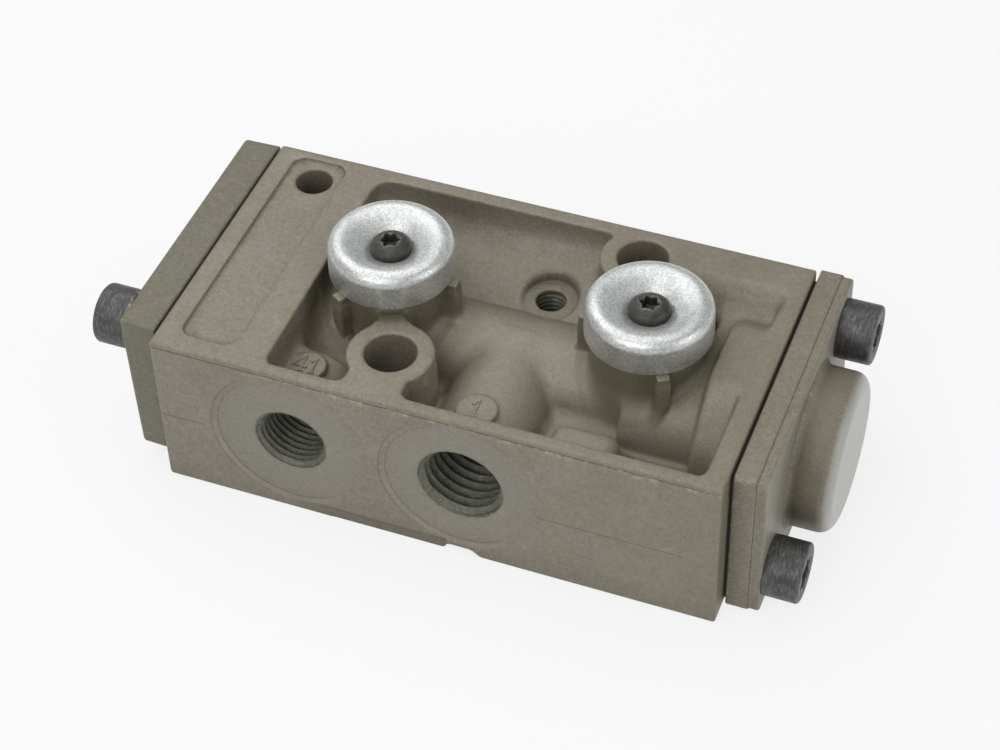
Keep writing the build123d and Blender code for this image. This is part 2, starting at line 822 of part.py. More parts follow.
def spring_seat():
    x0 = spool_shoulder_x
    seat = ring_x(seat_radius, stub_radius + fit_gap, x0, x0 + seat_thickness)
    hub_radius = spring_radius - spring_wire - 0.5
    return seat + ring_x(hub_radius, stub_radius + fit_gap, x0 + seat_thickness, x0 + stub_length)


# Coil spring between the moving seat and the dome's floor
def return_spring():
    x0 = spool_shoulder_x + seat_thickness + spring_wire + 0.05
    x1 = dome_inner_x - spring_wire - 0.05
    height = x1 - x0
    path = Helix(height / spring_turns, height, spring_radius)
    section = Plane(origin=path @ 0, z_dir=path % 0) * Circle(spring_wire)
    coil = sweep(section, path=path)
    return Pos(x0, axis_y, axis_z) * Rot(0, 90, 0) * coil


def pilot_piston():
    radius = piston_bore - sliding_gap
    body = rod_x(radius, piston_left, piston_right)
    body = chamfer(body.edges().filter_by(GeomType.CIRCLE), 0.4)
    body += rod_x(piston_nub_radius, left_face + 0.05, piston_left)
    body -= rod_x(stub_radius + fit_gap, piston_right - piston_socket - 0.1, piston_right)
    centre = (piston_left + piston_right) / 2
    half = piston_seal_width / 2
    groove = rod_x(piston_bore, centre - half, centre + half)
    groove -= rod_x(piston_bore - piston_seal_section, centre - half, centre + half)
    return body - groove


def piston_seal():
    centre = (piston_left + piston_right) / 2
    inner = piston_bore - piston_seal_section
    outer = piston_bore - sliding_gap / 2
    width = piston_seal_width - 2 * fit_gap
    section = Pos(centre, (inner + outer) / 2) * RectangleRounded(width, outer - inner, 0.4)
    return Pos(0, axis_y, axis_z) * revolve(Plane.XY * section, Axis.X)


# Sub-parts by name; a list is one group of separate solids
parts = {
    "valve_body": valve_body(),
    "left_end_cover": left_end_cover(),
    "right_end_cover": right_end_cover(),
    "left_cover_gasket": left_cover_gasket(),
    "right_cover_gasket": right_cover_gasket(),
    "left_cover_screws": left_cover_screws(),
    "right_cover_screws": right_cover_screws(),
    "spool": spool(),
    "pilot_piston": pilot_piston(),
    "piston_seal": piston_seal(),
    "retaining_washer": retaining_washer(),
    "snap_ring": snap_ring(),
    "spring_seat": spring_seat(),
    "return_spring": return_spring(),
}
for side, x in (("left", exhaust_left_x), ("right", exhaust_right_x)):
    parts["exhaust_cup_" + side] = exhaust_cup(x)
    parts["exhaust_flap_" + side] = exhaust_flap(x)
    parts["exhaust_screw_" + side] = exhaust_screw(x)
for side, x in (("left", outlet_left_x), ("right", outlet_right_x)):
    parts["outlet_seal_" + side] = outlet_seal(x)
for i, centre in enumerate(seal_centres):
    parts["seal_ring_%d" % (i + 1)] = seal_ring(centre)
for i in range(5):
    parts["port_spacer_%d" % (i + 1)] = port_spacer(i)

for name, shape in parts.items():
    shapes = shape if isinstance(shape, list) else [shape]
    solids = [solid for piece in shapes for solid in piece.solids()]
    export_step(Compound(children=solids), "parts/%s.step" % name)
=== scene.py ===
import bpy
import json
import math
import numpy as np
from mathutils import Matrix, Vector


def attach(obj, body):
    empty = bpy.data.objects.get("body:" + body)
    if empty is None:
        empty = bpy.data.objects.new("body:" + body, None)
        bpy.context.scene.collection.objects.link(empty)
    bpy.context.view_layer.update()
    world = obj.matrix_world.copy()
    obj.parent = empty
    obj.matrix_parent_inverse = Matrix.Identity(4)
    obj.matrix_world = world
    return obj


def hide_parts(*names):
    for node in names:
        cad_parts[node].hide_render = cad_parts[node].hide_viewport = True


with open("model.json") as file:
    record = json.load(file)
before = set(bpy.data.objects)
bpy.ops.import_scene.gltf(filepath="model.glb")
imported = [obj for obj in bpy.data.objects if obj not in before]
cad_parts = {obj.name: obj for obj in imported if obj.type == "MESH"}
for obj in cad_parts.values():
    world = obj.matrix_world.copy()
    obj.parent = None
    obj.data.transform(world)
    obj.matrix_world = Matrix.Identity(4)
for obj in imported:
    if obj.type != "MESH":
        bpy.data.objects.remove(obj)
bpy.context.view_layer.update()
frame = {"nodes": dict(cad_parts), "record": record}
nodes = frame["nodes"]

# Sizes in millimetres, as in the part's source
MM = 0.001
FRONT, BACK, TOP, HALF = -21.75, 21.75, 25.8, 40.0
AXIS_Y, AXIS_Z = 1.8, 12.9
# The pocket's walls in plan, at the top
LEFT_WALL, RIGHT_WALL, FRONT_WALL, BACK_WALL = -24.15, 37.7, -19.8, 19.85
# Ports of the front face: x and z of the centre, and how far their spot faces are sunk
SUPPLY = (4.2, 13.45)
PILOT = (-20.4, 13.2)
SPOT_DEPTH = 0.35
# Threads: radius at the roots, radius at the crests, pitch, radius at the mouth
SUPPLY_THREAD = (6.0, 5.19, 1.5, 6.25)
PILOT_THREAD = (5.0, 4.46, 1.0, 5.35)
TAPPED_THREAD = (2.5, 2.05, 0.8, 2.15)
# Exhausts: x of the centre, and the directions of the chimney's fins
EXHAUSTS = ((-14.35, (0, 120, 240)), (22.5, (60, 180, 300)))
# The post in each chimney, which carries the cup: its radius and top, and the radius of its screw hole
POST_RADIUS, POST_TOP, POST_HOLE = 2.6, 29.2, 1.58
# Holes from above: x and y, and the radius of the bosses round the front and rear bolts
FRONT_BOLT = (-8.7, -12.6)
REAR_BOLT = (16.9, 16.1)
LEFT_HOLE = (-32.6, 16.3)
TAPPED = (5.2, 11.3)
BOLT_BOSS = 5.95
# Numbered pads: x, y, radius and top
SUPPLY_PAD = (SUPPLY[0], -14.6, 2.85, 21.45)
PILOT_PAD = (PILOT[0], -14.1, 2.6, 20.95)
# Outlets of the underside: x, in line with the bore
OUTLETS = (-5.1375, 13.2875)
# The bore from left to right: radius, start and end of each step
BORE_STEPS = (
    (7.0, -45, -28.93),
    (5.15, -29.5, -19.0),
    (6.53, -19.89, 28.05),
    (8.33, 28.0, 45),
    (8.78, 28.98, 30.04),
)
# Cover screws: y and z, and the radius of their holes in the covers
LEFT_SCREWS = ((-14.8, 21.8), (9.9, 6.0))
RIGHT_SCREWS = ((17.8, 20.0), (-14.2, 5.8))
COVER_HOLE = 2.7
# Cups and their screws: the cup's lower edge, and the underside of the screw's head
CUP_BASE = 27.0
CUP_SCREW_SEAT = 29.8
# Step of the grid on which the castings are made
VOXEL = 0.29


# The forms are signed distances in millimetres, negative inside, on arrays of points.
# Two forms together, with a fillet of radius r between them
def join(a, b, r):
    u, v = np.maximum(r - a, 0), np.maximum(r - b, 0)
    return np.maximum(r, np.minimum(a, b)) - np.sqrt(u * u + v * v)


# What two forms share, with a round of radius r where their faces meet
def meet(a, b, r):
    u, v = np.maximum(r + a, 0), np.maximum(r + b, 0)
    return np.minimum(-r, np.maximum(a, b)) + np.sqrt(u * u + v * v)


def cut(a, b, r=0.0):
    return meet(a, -b, r) if r > 0 else np.maximum(a, -b)


def box(x, y, z, x0, x1, y0, y1, z0, z1, r):
    qx = np.abs(x - (x0 + x1) / 2) - ((x1 - x0) / 2 - r)
    qy = np.abs(y - (y0 + y1) / 2) - ((y1 - y0) / 2 - r)
    qz = np.abs(z - (z0 + z1) / 2) - ((z1 - z0) / 2 - r)
    outside = np.sqrt(np.maximum(qx, 0) ** 2 + np.maximum(qy, 0) ** 2 + np.maximum(qz, 0) ** 2)
    return outside + np.minimum(np.maximum(np.maximum(qx, qy), qz), 0) - r


def rect(u, v, u0, u1, v0, v1, r=0.0):
    qu = np.abs(u - (u0 + u1) / 2) - ((u1 - u0) / 2 - r)
    qv = np.abs(v - (v0 + v1) / 2) - ((v1 - v0) / 2 - r)
    outside = np.sqrt(np.maximum(qu, 0) ** 2 + np.maximum(qv, 0) ** 2)
    return outside + np.minimum(np.maximum(qu, qv), 0) - r


def away(u, v, cu, cv):
    return np.sqrt((u - cu) ** 2 + (v - cv) ** 2)


def disc(u, v, cu, cv, r):
    return away(u, v, cu, cv) - r


def between(t, t0, t1):
    return np.abs(t - (t0 + t1) / 2) - (t1 - t0) / 2


# A round rod across the plane of u and v, from start to end along t
def rod(u, v, t, cu, cv, radius, start, end):
    return np.maximum(disc(u, v, cu, cv, radius), between(t, start, end))


# A bar from point a to point b with round ends
def bar(u, v, a, b, half):
    dx, dy = b[0] - a[0], b[1] - a[1]
    t = np.clip(((u - a[0]) * dx + (v - a[1]) * dy) / (dx * dx + dy * dy), 0, 1)
    return np.sqrt((u - a[0] - t * dx) ** 2 + (v - a[1] - t * dy) ** 2) - half


# The pocket's floor and what is cast in it, up to the walls, each form with its own fillet
def pocket_floor(x, y, z):
    rho = away(y, z, AXIS_Y, AXIS_Z)
    floor_z, pilot_floor_z, rear_floor_z = 14.6, 17.0, 18.2
    hump, spring_step, end_step = 8.0, 11.1, 14.0
    spring_step_x, end_step_x, trough_x, trough_z = 21.5, 32.3, 29.5, 22.6
    ledge = box(x, y, z, 14.0, 23.4, -25.0, -10.6, 5.0, 19.4, 1.9)
    supply = meet(disc(x, z, *SUPPLY, 7.45), y - AXIS_Y, 0.3)
    pilot = meet(disc(x, z, *PILOT, 7.2), y + 10.25, 1.2)
    rise_to_rear, rise_to_right = 0.30, 0.08
    rear = z - rear_floor_z - (y - 8.2) * rise_to_rear - np.clip(x - TAPPED[0], -1.0, 6.0) * rise_to_right
    step = meet(rho - spring_step, spring_step_x - x, 0.7)
    rib = np.maximum(meet(meet(y - 8.3, z - 25.75, 1.4), end_step_x - x, 0.9), AXIS_Y - y)
    trough = np.maximum(meet(z - trough_z, trough_x - x, 0.9), AXIS_Y - y)
    slope = ((z - trough_z) * 3.0 - (y - 12.9) * 3.2) / 4.39
    slope = np.maximum(np.maximum(slope, 11.8 - y), 22.0 - x)
    right_wall = (36.95 + (z - 24.0) * 0.2 - x) / 1.02
    left_wall = x - LEFT_WALL - (TOP - z) * 0.05
    floor = join(z - floor_z, np.maximum(x - FRONT_BOLT[0], z - pilot_floor_z), 1.2)
    for form, fillet in (
        (ledge, 2.2),
        (rho - hump, 1.6),
        (supply, 0.9),
        (pilot, 1.2),
        (np.maximum(rear / 1.05, 2.0 - y), 0.3),
        (step, 0.7),
        (meet(rho - end_step, end_step_x - x, 0.9), 0.9),
        (rib, 0.6),
        (join(trough, slope, 1.4), 1.0),
        (right_wall, 0.8),
        (left_wall, 3.2),
        (BACK - 1.95 - y, 3.6),
    ):
        floor = join(floor, form, fillet)
    return floor


# The solid round the pocket, drafted, with the bolt bosses and the web
def pocket_walls(x, y, z):
    draft = (TOP - z) * 0.03
    room = rect(x, y, LEFT_WALL, RIGHT_WALL, FRONT_WALL, BACK_WALL, 1.6)
    rear_land = np.maximum(REAR_BOLT[0] - x, 15.9 - y)
    rear = join(rear_land, disc(x, y, *REAR_BOLT, BOLT_BOSS), 1.6)
    solid = join(-room, rear, 1.4)
    neck = rect(x, y, FRONT_BOLT[0] - 4.0, FRONT_BOLT[0] + 4.17, -25.0, FRONT_BOLT[1])
    front = np.minimum(neck, disc(x, y, *FRONT_BOLT, BOLT_BOSS))
    web = bar(x, y, FRONT_BOLT, (EXHAUSTS[0][0], AXIS_Y), 1.7)
    solid = join(solid, join(front, web, 1.8), 1.5)
    return solid - draft


# A round tower with three fins, which slant underneath
def chimney(x, y, z, cx, angles):
    radius, top, foot = 7.6, 26.6, 12.0
    fin_half, fin_reach, fin_top, fin_under = 0.9, 9.7, 27.0, 21.1
    tower = meet(disc(x, y, cx, AXIS_Y, radius), z - top, 0.25)
    tower = np.maximum(tower, foot - z)
    for angle in angles:
        c, s = math.cos(math.radians(angle)), math.sin(math.radians(angle))
        along = (x - cx) * c + (y - AXIS_Y) * s
        across = (y - AXIS_Y) * c - (x - cx) * s
        fin = meet(meet(np.abs(across) - fin_half, along - fin_reach, 0.3), z - fin_top, 0.25)
        lean = 1.4 * max(0.0, -s) * (1 if c > 0 else -1)
        under = (fin_under - (along - 9.5) * 0.25 + across * lean - z) / math.hypot(1.03, lean)
        fin = meet(fin, np.maximum(under, 5.0 - along), 0.3)
        tower = join(tower, fin, 0.5)
    return tower


# The ring-shaped hollow under a cup, and the four passages from it down to the bore
def chimney_hollow(x, y, z, cx):
    radius, bottom = 6.2, 23.0
    passage, out = 1.5, 4.3
    rho = away(x, y, cx, AXIS_Y)
    hollow = np.maximum(np.maximum(rho - radius, POST_RADIUS - rho), bottom - z)
    for angle in (60, 120, 240, 300):
        px = cx + out * math.cos(math.radians(angle))
        py = AXIS_Y + out * math.sin(math.radians(angle))
        hollow = np.minimum(hollow, rod(x, y, z, px, py, passage, AXIS_Z, bottom + 0.5))
    return hollow


def spool_bore(x, y, z):
    steps = [rod(y, z, x, AXIS_Y, AXIS_Z, *step) for step in BORE_STEPS]
    bore = steps[0]
    for step in steps[1:]:
        bore = np.minimum(bore, step)
    return bore


# A port of the front face: coned spot face, chamfered mouth, thread bore and core bore
def port(x, y, z, centre, sizes, depth):
    major, minor, _, mouth = sizes
    spot_radius, spot_flare, run_out = 10.65, 3.0, 1.5
    rho = away(x, z, *centre)
    spot = (rho - spot_radius - (FRONT + SPOT_DEPTH - y) * spot_flare) / 3.16
    spot = meet(spot, y - FRONT - SPOT_DEPTH, 0.06)
    bore = np.maximum(rho - major, y - FRONT - depth + run_out)
    bore = np.minimum(bore, np.maximum(rho - minor, y - FRONT - depth))
    cone = (rho - mouth + (y - FRONT - SPOT_DEPTH)) / 1.42
    return np.minimum(spot, np.minimum(bore, np.maximum(cone, y - FRONT - 4)))


# The body as it is cast: shell, pocket, numbered pads, chimneys with their posts, and the flat panel
def cast_body(x, y, z):
    shell = meet(box(x, y, z, -HALF, HALF + 3.0, FRONT, BACK, 0.0, TOP, 0.5), x - HALF, 0.25)
    inside = join(pocket_walls(x, y, z), pocket_floor(x, y, z), 1.2)
    pads = [meet(disc(x, y, cx, cy, radius), z - top, 0.3) for cx, cy, radius, top in (SUPPLY_PAD, PILOT_PAD)]
    pads = np.maximum(np.minimum(pads[0], pads[1]), 13.0 - z)
    inside = join(inside, pads, 0.3)
    towers = [chimney(x, y, z, cx, angles) for cx, angles in EXHAUSTS]
    for tower in towers:
        inside = join(inside, tower, 1.3)
    # The pocket's edge is rounder at its rear right corner
    rounder = np.clip((x - 22.5) / 2.5, 0, 1) * np.clip((y - 9.0) / 4.0, 0, 1)
    solid = meet(shell, inside, 0.4 + 1.3 * rounder)
    for (cx, _), tower in zip(EXHAUSTS, towers):
        solid = join(solid, tower, 0.5)
        solid = cut(solid, chimney_hollow(x, y, z, cx))
        solid = np.minimum(solid, rod(x, y, z, cx, AXIS_Y, POST_RADIUS, 20.0, POST_TOP))
        solid = cut(solid, rod(x, y, z, cx, AXIS_Y, POST_HOLE, 22.3, 31.0))
    panel = np.maximum(rect(x, y, -36.9, -28.8, -18.65, 20.15, 1.8), TOP - 0.5 - z)
    return cut(solid, panel, 0.06)


# The cast body with its holes, ports, passages, bore and outlets, and the notch and strip at its foot
def body_field(x, y, z):
    solid = cast_body(x, y, z)
    # The tapped hole: spot face, lip, seat of the threaded liner, core bore
    liner_radius, core_radius = TAPPED_THREAD[:2]
    spot = meet(disc(x, y, *TAPPED, 3.8), 18.35 - z, 0.3)
    solid = cut(solid, np.maximum(spot, z - TOP), 0.8)
    solid = cut(solid, np.maximum(disc(x, y, *TAPPED, 2.12), 12.0 - z), 0.08)
    solid = cut(solid, rod(x, y, z, *TAPPED, liner_radius, 12.0, 17.5))
    solid = cut(solid, np.maximum(disc(x, y, *TAPPED, core_radius), 10.8 - z))
    for hole, radius in ((FRONT_BOLT, 3.56), (REAR_BOLT, 3.56), (LEFT_HOLE, 2.6)):
        solid = cut(solid, disc(x, y, *hole, radius), 0.35)
    for centre, sizes, depth in ((SUPPLY, SUPPLY_THREAD, 11.0), (PILOT, PILOT_THREAD, 10.0)):
        solid = cut(solid, port(x, y, z, centre, sizes, depth), 0.12)
    # Passages from the supply port to the bore, and from the pilot port to the left cover's slot
    solid = cut(solid, rod(x, z, y, SUPPLY[0], AXIS_Z, 3.25, -12.0, -3.5))
    solid = cut(solid, rod(y, z, x, -13.5, AXIS_Z, 1.3, -45, PILOT[0]))
    solid = cut(solid, spool_bore(x, y, z))
    screw_bore, screw_end = 2.58, 31.5
    for places, short_of_end in ((LEFT_SCREWS, x + screw_end), (RIGHT_SCREWS, screw_end - x)):
        for place in places:
            solid = cut(solid, np.maximum(disc(y, z, *place, screw_bore), short_of_end))
    # Each outlet: counterbore, bore and the groove of its seal
    outlet, counterbore, groove = (2.4, AXIS_Z), (3.2, 4.8), (4.3, 0.65, 1.3)
    for cx in OUTLETS:
        rho = away(x, y, cx, AXIS_Y)
        solid = cut(solid, np.maximum(rho - counterbore[0], z - counterbore[1]), 0.15)
        solid = cut(solid, np.maximum(rho - outlet[0], z - outlet[1]))
        solid = cut(solid, np.maximum(np.abs(rho - groove[0]) - groove[1], z - groove[2]))
    # The tapered notch at the foot of the front face, and the strip that fades to its left
    notch = meet(meet(1.4 - x + z * 0.6, x - 7.0 + z * 1.2, 0.5), z - 1.2, 0.4)
    solid = cut(solid, np.maximum(notch, y - FRONT - 3.0), 0.2)
    strip_depth = (0.12 + z * 0.16) * np.clip((x + 21.6) / 9.0, 0, 1)
    strip = np.maximum(rect(x, z, -21.6, 1.9, -5.0, 2.1), y - FRONT - strip_depth)
    return cut(solid, strip, 0.06)


# The flat cover: drafted sides, a rounder rear top corner, the pilot's slot and the screw holes
def left_cover_field(x, y, z):
    inner_x, outer_x, slot_x = -40.25, -45.35, -41.65
    lean = (x - inner_x) * 0.03
    corner = 0.25 + 0.85 * np.clip((y - 15.0) / 4.0, 0, 1)
    plate = meet(rect(y, z, FRONT + 2.35, BACK, 1.6, TOP + 3.0, 1.4) - lean, z - TOP, corner)
    outer = outer_x - (z - 13.0) * 0.02 - x
    solid = meet(meet(plate, outer, 0.4), x - inner_x, 0.12)
    slot = np.minimum(rect(y, z, -13.5, -2.6, 11.6, 14.2), disc(y, z, -13.5, 12.9, 1.3))
    solid = cut(solid, np.maximum(slot, slot_x - x))
    for cy, cz in LEFT_SCREWS:
        solid = cut(solid, disc(y, z, cy, cz, COVER_HOLE))
    return solid


# The domed cover: stepped plate, hollow boss, the spring's guide and the screw holes
def right_cover_field(x, y, z):
    face_x, step_x, outer_x, end_x, dome_floor_x = 40.4, 43.5, 45.0, 51.25, 49.65
    plate = meet(meet(rect(y, z, -18.45, 23.05, 0.0, 25.2, 1.0), face_x - x, 0.15), x - step_x, 0.12)
    raised = meet(rect(y, z, -18.3, 22.9, 0.1, 25.05, 1.1), between(x, 41.0, outer_x), 0.3)
    solid = np.minimum(plate, raised)
    rho = away(y, z, AXIS_Y, AXIS_Z)
    dome = meet(rho - 11.15 + (x - outer_x) * 0.01, between(x, 41.0, end_x), 2.05)
    solid = join(solid, dome, 1.0)
    solid = cut(solid, np.maximum(rho - 8.3, x - dome_floor_x))
    solid = np.minimum(solid, rod(y, z, x, AXIS_Y, AXIS_Z, 4.0, 45.65, 50.4))
    for cy, cz in RIGHT_SCREWS:
        solid = cut(solid, disc(y, z, cy, cz, COVER_HOLE))
    return np.maximum(solid, face_x - x)


# The grid cells where a field changes sign, and the middle of the crossings in each, from 0 to 1
def crossing_cells(values):
    inside = values < 0
    corners = [(i, j, k) for i in (0, 1) for j in (0, 1) for k in (0, 1)]
    nx, ny, nz = (n - 1 for n in values.shape)
    count = sum(inside[i:i + nx, j:j + ny, k:k + nz].astype(np.int8) for i, j, k in corners)
    cells = np.nonzero((count > 0) & (count < 8))
    corner_values = {c: values[tuple(cells[m] + c[m] for m in range(3))] for c in corners}
    total = np.zeros((len(cells[0]), 3))
    hits = np.zeros(len(cells[0]))
    for a in corners:
        for axis in range(3):
            if a[axis]:
                continue
            b = tuple(a[m] + (m == axis) for m in range(3))
            va, vb = corner_values[a], corner_values[b]
            crossed = (va < 0) != (vb < 0)
            t = np.where(crossed, va / np.where(crossed, va - vb, 1), 0)
            point = np.array(a, float)[None, :] + np.eye(3)[axis][None, :] * t[:, None]
            total += point * crossed[:, None]
            hits += crossed
    return cells, total / hits[:, None]


# One four-sided face round each grid edge that crosses the surface, turned outwards
def crossing_faces(inside, numbers):
    shape = numbers.shape
    quads = []
    for axis in range(3):
        u, v = (axis + 1) % 3, (axis + 2) % 3
        near = [slice(1, n) for n in shape]
        far = list(near)
        near[axis], far[axis] = slice(0, shape[axis]), slice(1, shape[axis] + 1)
        first, second = inside[tuple(near)], inside[tuple(far)]
        home = np.argwhere(first != second)
        offset = np.ones(3, int)
        offset[axis] = 0
        loops = []
        for du, dv in ((-1, -1), (0, -1), (0, 0), (-1, 0)):
            c = home + offset
            c[:, u] += du
            c[:, v] += dv
            loops.append(numbers[c[:, 0], c[:, 1], c[:, 2]])
        quad = np.stack(loops, 1)
        outward = first[home[:, 0], home[:, 1], home[:, 2]]
        quads.append(np.where(outward[:, None], quad, quad[:, ::-1]))
    return np.concatenate(quads)


# Points moved onto the surface along the field's slope, in three steps
def settled(verts, field):
    eps = 0.02
    for _ in range(3):
        x, y, z = verts[:, 0], verts[:, 1], verts[:, 2]
        f = field(x, y, z)
        grad = np.stack([
            field(x + eps * (m == 0), y + eps * (m == 1), z + eps * (m == 2)) - f
            for m in range(3)
        ], 1) / eps
        size = np.maximum((grad ** 2).sum(1), 0.05)
        move = -grad * (f / size)[:, None]
        reach = np.sqrt((move ** 2).sum(1))
        verts = verts + move * np.minimum(1, 0.6 * VOXEL / np.maximum(reach, 1e-9))[:, None]
    return verts


def linked(name, data):
    obj = bpy.data.objects.new(name, data)
    bpy.context.scene.collection.objects.link(obj)
    return obj


def bake_modifiers(obj):
    graph = bpy.context.evaluated_depsgraph_get()
    made = bpy.data.meshes.new_from_object(obj.evaluated_get(graph))
    obj.modifiers.clear()
    obj.data = made
    made.name = obj.name


# A closed mesh where the field is zero, thinned to the given number of triangles
def mesh_from_field(name, field, low, high, most):
    grid = [np.arange(a - 1.5 * VOXEL, b + 2.5 * VOXEL, VOXEL, dtype=np.float64) for a, b in zip(low, high)]
    gx, gy, gz = grid
    values = field(gx[:, None, None], gy[None, :, None], gz[None, None, :]).astype(np.float32)
    values = np.broadcast_to(values, (len(gx), len(gy), len(gz)))
    cells, middles = crossing_cells(values)
    verts = np.stack([grid[m][cells[m]] + middles[:, m] * VOXEL for m in range(3)], 1)
    numbers = np.full([n - 1 for n in values.shape], -1, np.int32)
    numbers[cells] = np.arange(len(verts))
    quads = crossing_faces(values < 0, numbers)
    verts = settled(verts, field)
    mesh = bpy.data.meshes.new(name)
    mesh.vertices.add(len(verts))
    mesh.vertices.foreach_set("co", (verts * MM).astype(np.float32).ravel())
    mesh.loops.add(quads.size)
    mesh.loops.foreach_set("vertex_index", quads.ravel().astype(np.int32))
    mesh.polygons.add(len(quads))
    mesh.polygons.foreach_set("loop_start", np.arange(0, quads.size, 4, dtype=np.int32))
    mesh.update(calc_edges=True)
    mesh.validate()
    obj = linked(name, mesh)
    bpy.context.view_layer.objects.active = obj
    if len(quads) * 2 > most:
        thin = obj.modifiers.new("thin", "DECIMATE")
        thin.ratio = most / (len(quads) * 2)
        thin.use_collapse_triangulate = True
    bake_modifiers(obj)
    obj.data.shade_smooth()
    flat = obj.modifiers.new("flat_faces_first", "WEIGHTED_NORMAL")
    flat.weight = 80
    return obj


def mesh_object(name, verts, faces):
    mesh = bpy.data.meshes.new(name)
    mesh.from_pydata(verts, [], faces)
    mesh.update()
    return linked(name, mesh)


# A closed mesh from rings of points: its ends close on their centres, or on each other
def mesh_from_rings(name, rings, closed_loop=False):
    rings = np.asarray(rings, float)
    rows, around = rings.shape[:2]
    faces = []
    last = rows if closed_loop else rows - 1
    for i in range(last):
        a, b = i * around, ((i + 1) % rows) * around
        for j in range(around):
            k = (j + 1) % around
            faces.append((a + j, a + k, b + k, b + j))
    verts = list(map(tuple, rings.reshape(-1, 3) * MM))
    if not closed_loop:
        for row, flip in ((0, True), (rows - 1, False)):
            centre = len(verts)
            verts.append(tuple(rings[row].mean(0) * MM))
            for j in range(around):
                k = (j + 1) % around
                a, b = row * around + j, row * around + k
                faces.append((centre, b, a) if flip else (centre, a, b))
    return mesh_object(name, verts, faces)


def join_objects(name, pieces):
    verts, faces = [], []
    for p in pieces:
        start = len(verts)
        verts += [tuple(v.co) for v in p.data.vertices]
        faces += [tuple(start + i for i in f.vertices) for f in p.data.polygons]
        bpy.data.objects.remove(p)
    return mesh_object(name, verts, faces)


def smooth_by_angle(obj, degrees):
    mesh = obj.data
    mesh.shade_smooth()
    mesh.set_sharp_from_angle(angle=math.radians(degrees))
    return obj


# A threaded liner for a hole, from its mouth inwards: crests at the core radius, roots at the thread's
def thread(name, sizes, length, origin, right, up, inward):
    major, minor, pitch, mouth = sizes
    around, per_turn, start = 96, 12, 0.1
    root_gap, wall = 0.04, 0.08
    steps = int(length / pitch * per_turn)
    theta = np.linspace(0, 2 * math.pi, around, endpoint=False)
    rings = []
    for i in range(steps + 1):
        s = start + (length - start) * i / steps
        phase = np.mod(s / pitch - theta / (2 * math.pi), 1)
        tooth = np.clip((np.abs(phase - 0.5) * 2 - 0.12) / 0.72, 0, 1)
        radius = minor + (major - root_gap - minor) * (1 - tooth)
        radius = np.minimum(np.maximum(radius, mouth - s), major + wall)
        rings.append((s, radius))
    outer = np.full(around, major + 2 * wall)
    rings += [(length, outer), (start, outer)]
    o, r, u, n = (np.array(v, float) for v in (origin, right, up, inward))
    points = [
        o + n * s + np.outer(np.cos(theta) * rad, r) + np.outer(np.sin(theta) * rad, u) for s, rad in rings
    ]
    return smooth_by_angle(mesh_from_rings(name, points, closed_loop=True), 45)


# One level ring of points; the radius is a number or changes with theta
def ring(theta, radius, z, cx=0.0, cy=0.0):
    return np.stack([cx + radius * np.cos(theta), cy + radius * np.sin(theta), np.full(len(theta), z)], 1)


# Rings of a socket screw about +Z: the shank, the head's profile, then the six-lobed recess
def screw_rings(profile, recess_radius, top, depth):
    theta = np.linspace(0, 2 * math.pi, 96, endpoint=False)
    rings = [ring(theta, r, z) for r, z in profile]
    outline = recess_radius * (1 - 0.26 * (0.5 - 0.5 * np.cos(6 * theta)) ** 0.8)
    floor = top - depth
    recess = [(1.12, top), (1.03, top - 0.06), (1.0, top - 0.2)]
    recess += [(1.0, floor), (0.6, floor - 0.2), (0.03, floor - 0.5)]
    rings += [ring(theta, outline * grow, z) for grow, z in recess]
    return np.array(rings)


# Rings turned about Z, and rings turned and moved into place
def spun(rings, angle):
    c, s = math.cos(angle), math.sin(angle)
    return rings @ np.array([[c, s, 0], [-s, c, 0], [0, 0, 1]])


def placed(rings, turn, at):
    matrix = np.array(turn, float)
    return rings @ matrix.T + np.array(at, float)


def arc(cx, cz, r, a0, a1, count):
    angles = np.radians(np.linspace(a0, a1, count))
    return [(cx + r * math.cos(a), cz + r * math.sin(a)) for a in angles]


# Cap screws of a cover, each turned differently. A profile is radii and heights from the head's seat:
# here a chamfered end, the shank, a straight side and a rolled upper edge
def cap_screws(name, places, turn, base_x, shank):
    profile = [(0.4, -shank), (2.0, -shank), (2.5, -shank + 0.5), (2.5, -0.05), (3.9, 0.0), (4.13, 0.08)]
    profile += [(4.2, 0.3), (4.2, 2.5), (4.2, 4.55)]
    profile += arc(3.75, 4.55, 0.45, 10, 80, 6) + [(3.6, 5.0), (3.0, 5.0)]
    rings = screw_rings(profile, recess_radius=2.45, top=4.96, depth=2.8)
    screws = []
    for i, (y, z) in enumerate(places):
        turned = spun(rings, math.radians(17 + 31 * i))
        screws.append(mesh_from_rings("part", placed(turned, turn, (base_x, y, z))))
    return smooth_by_angle(join_objects(name, screws), 40)


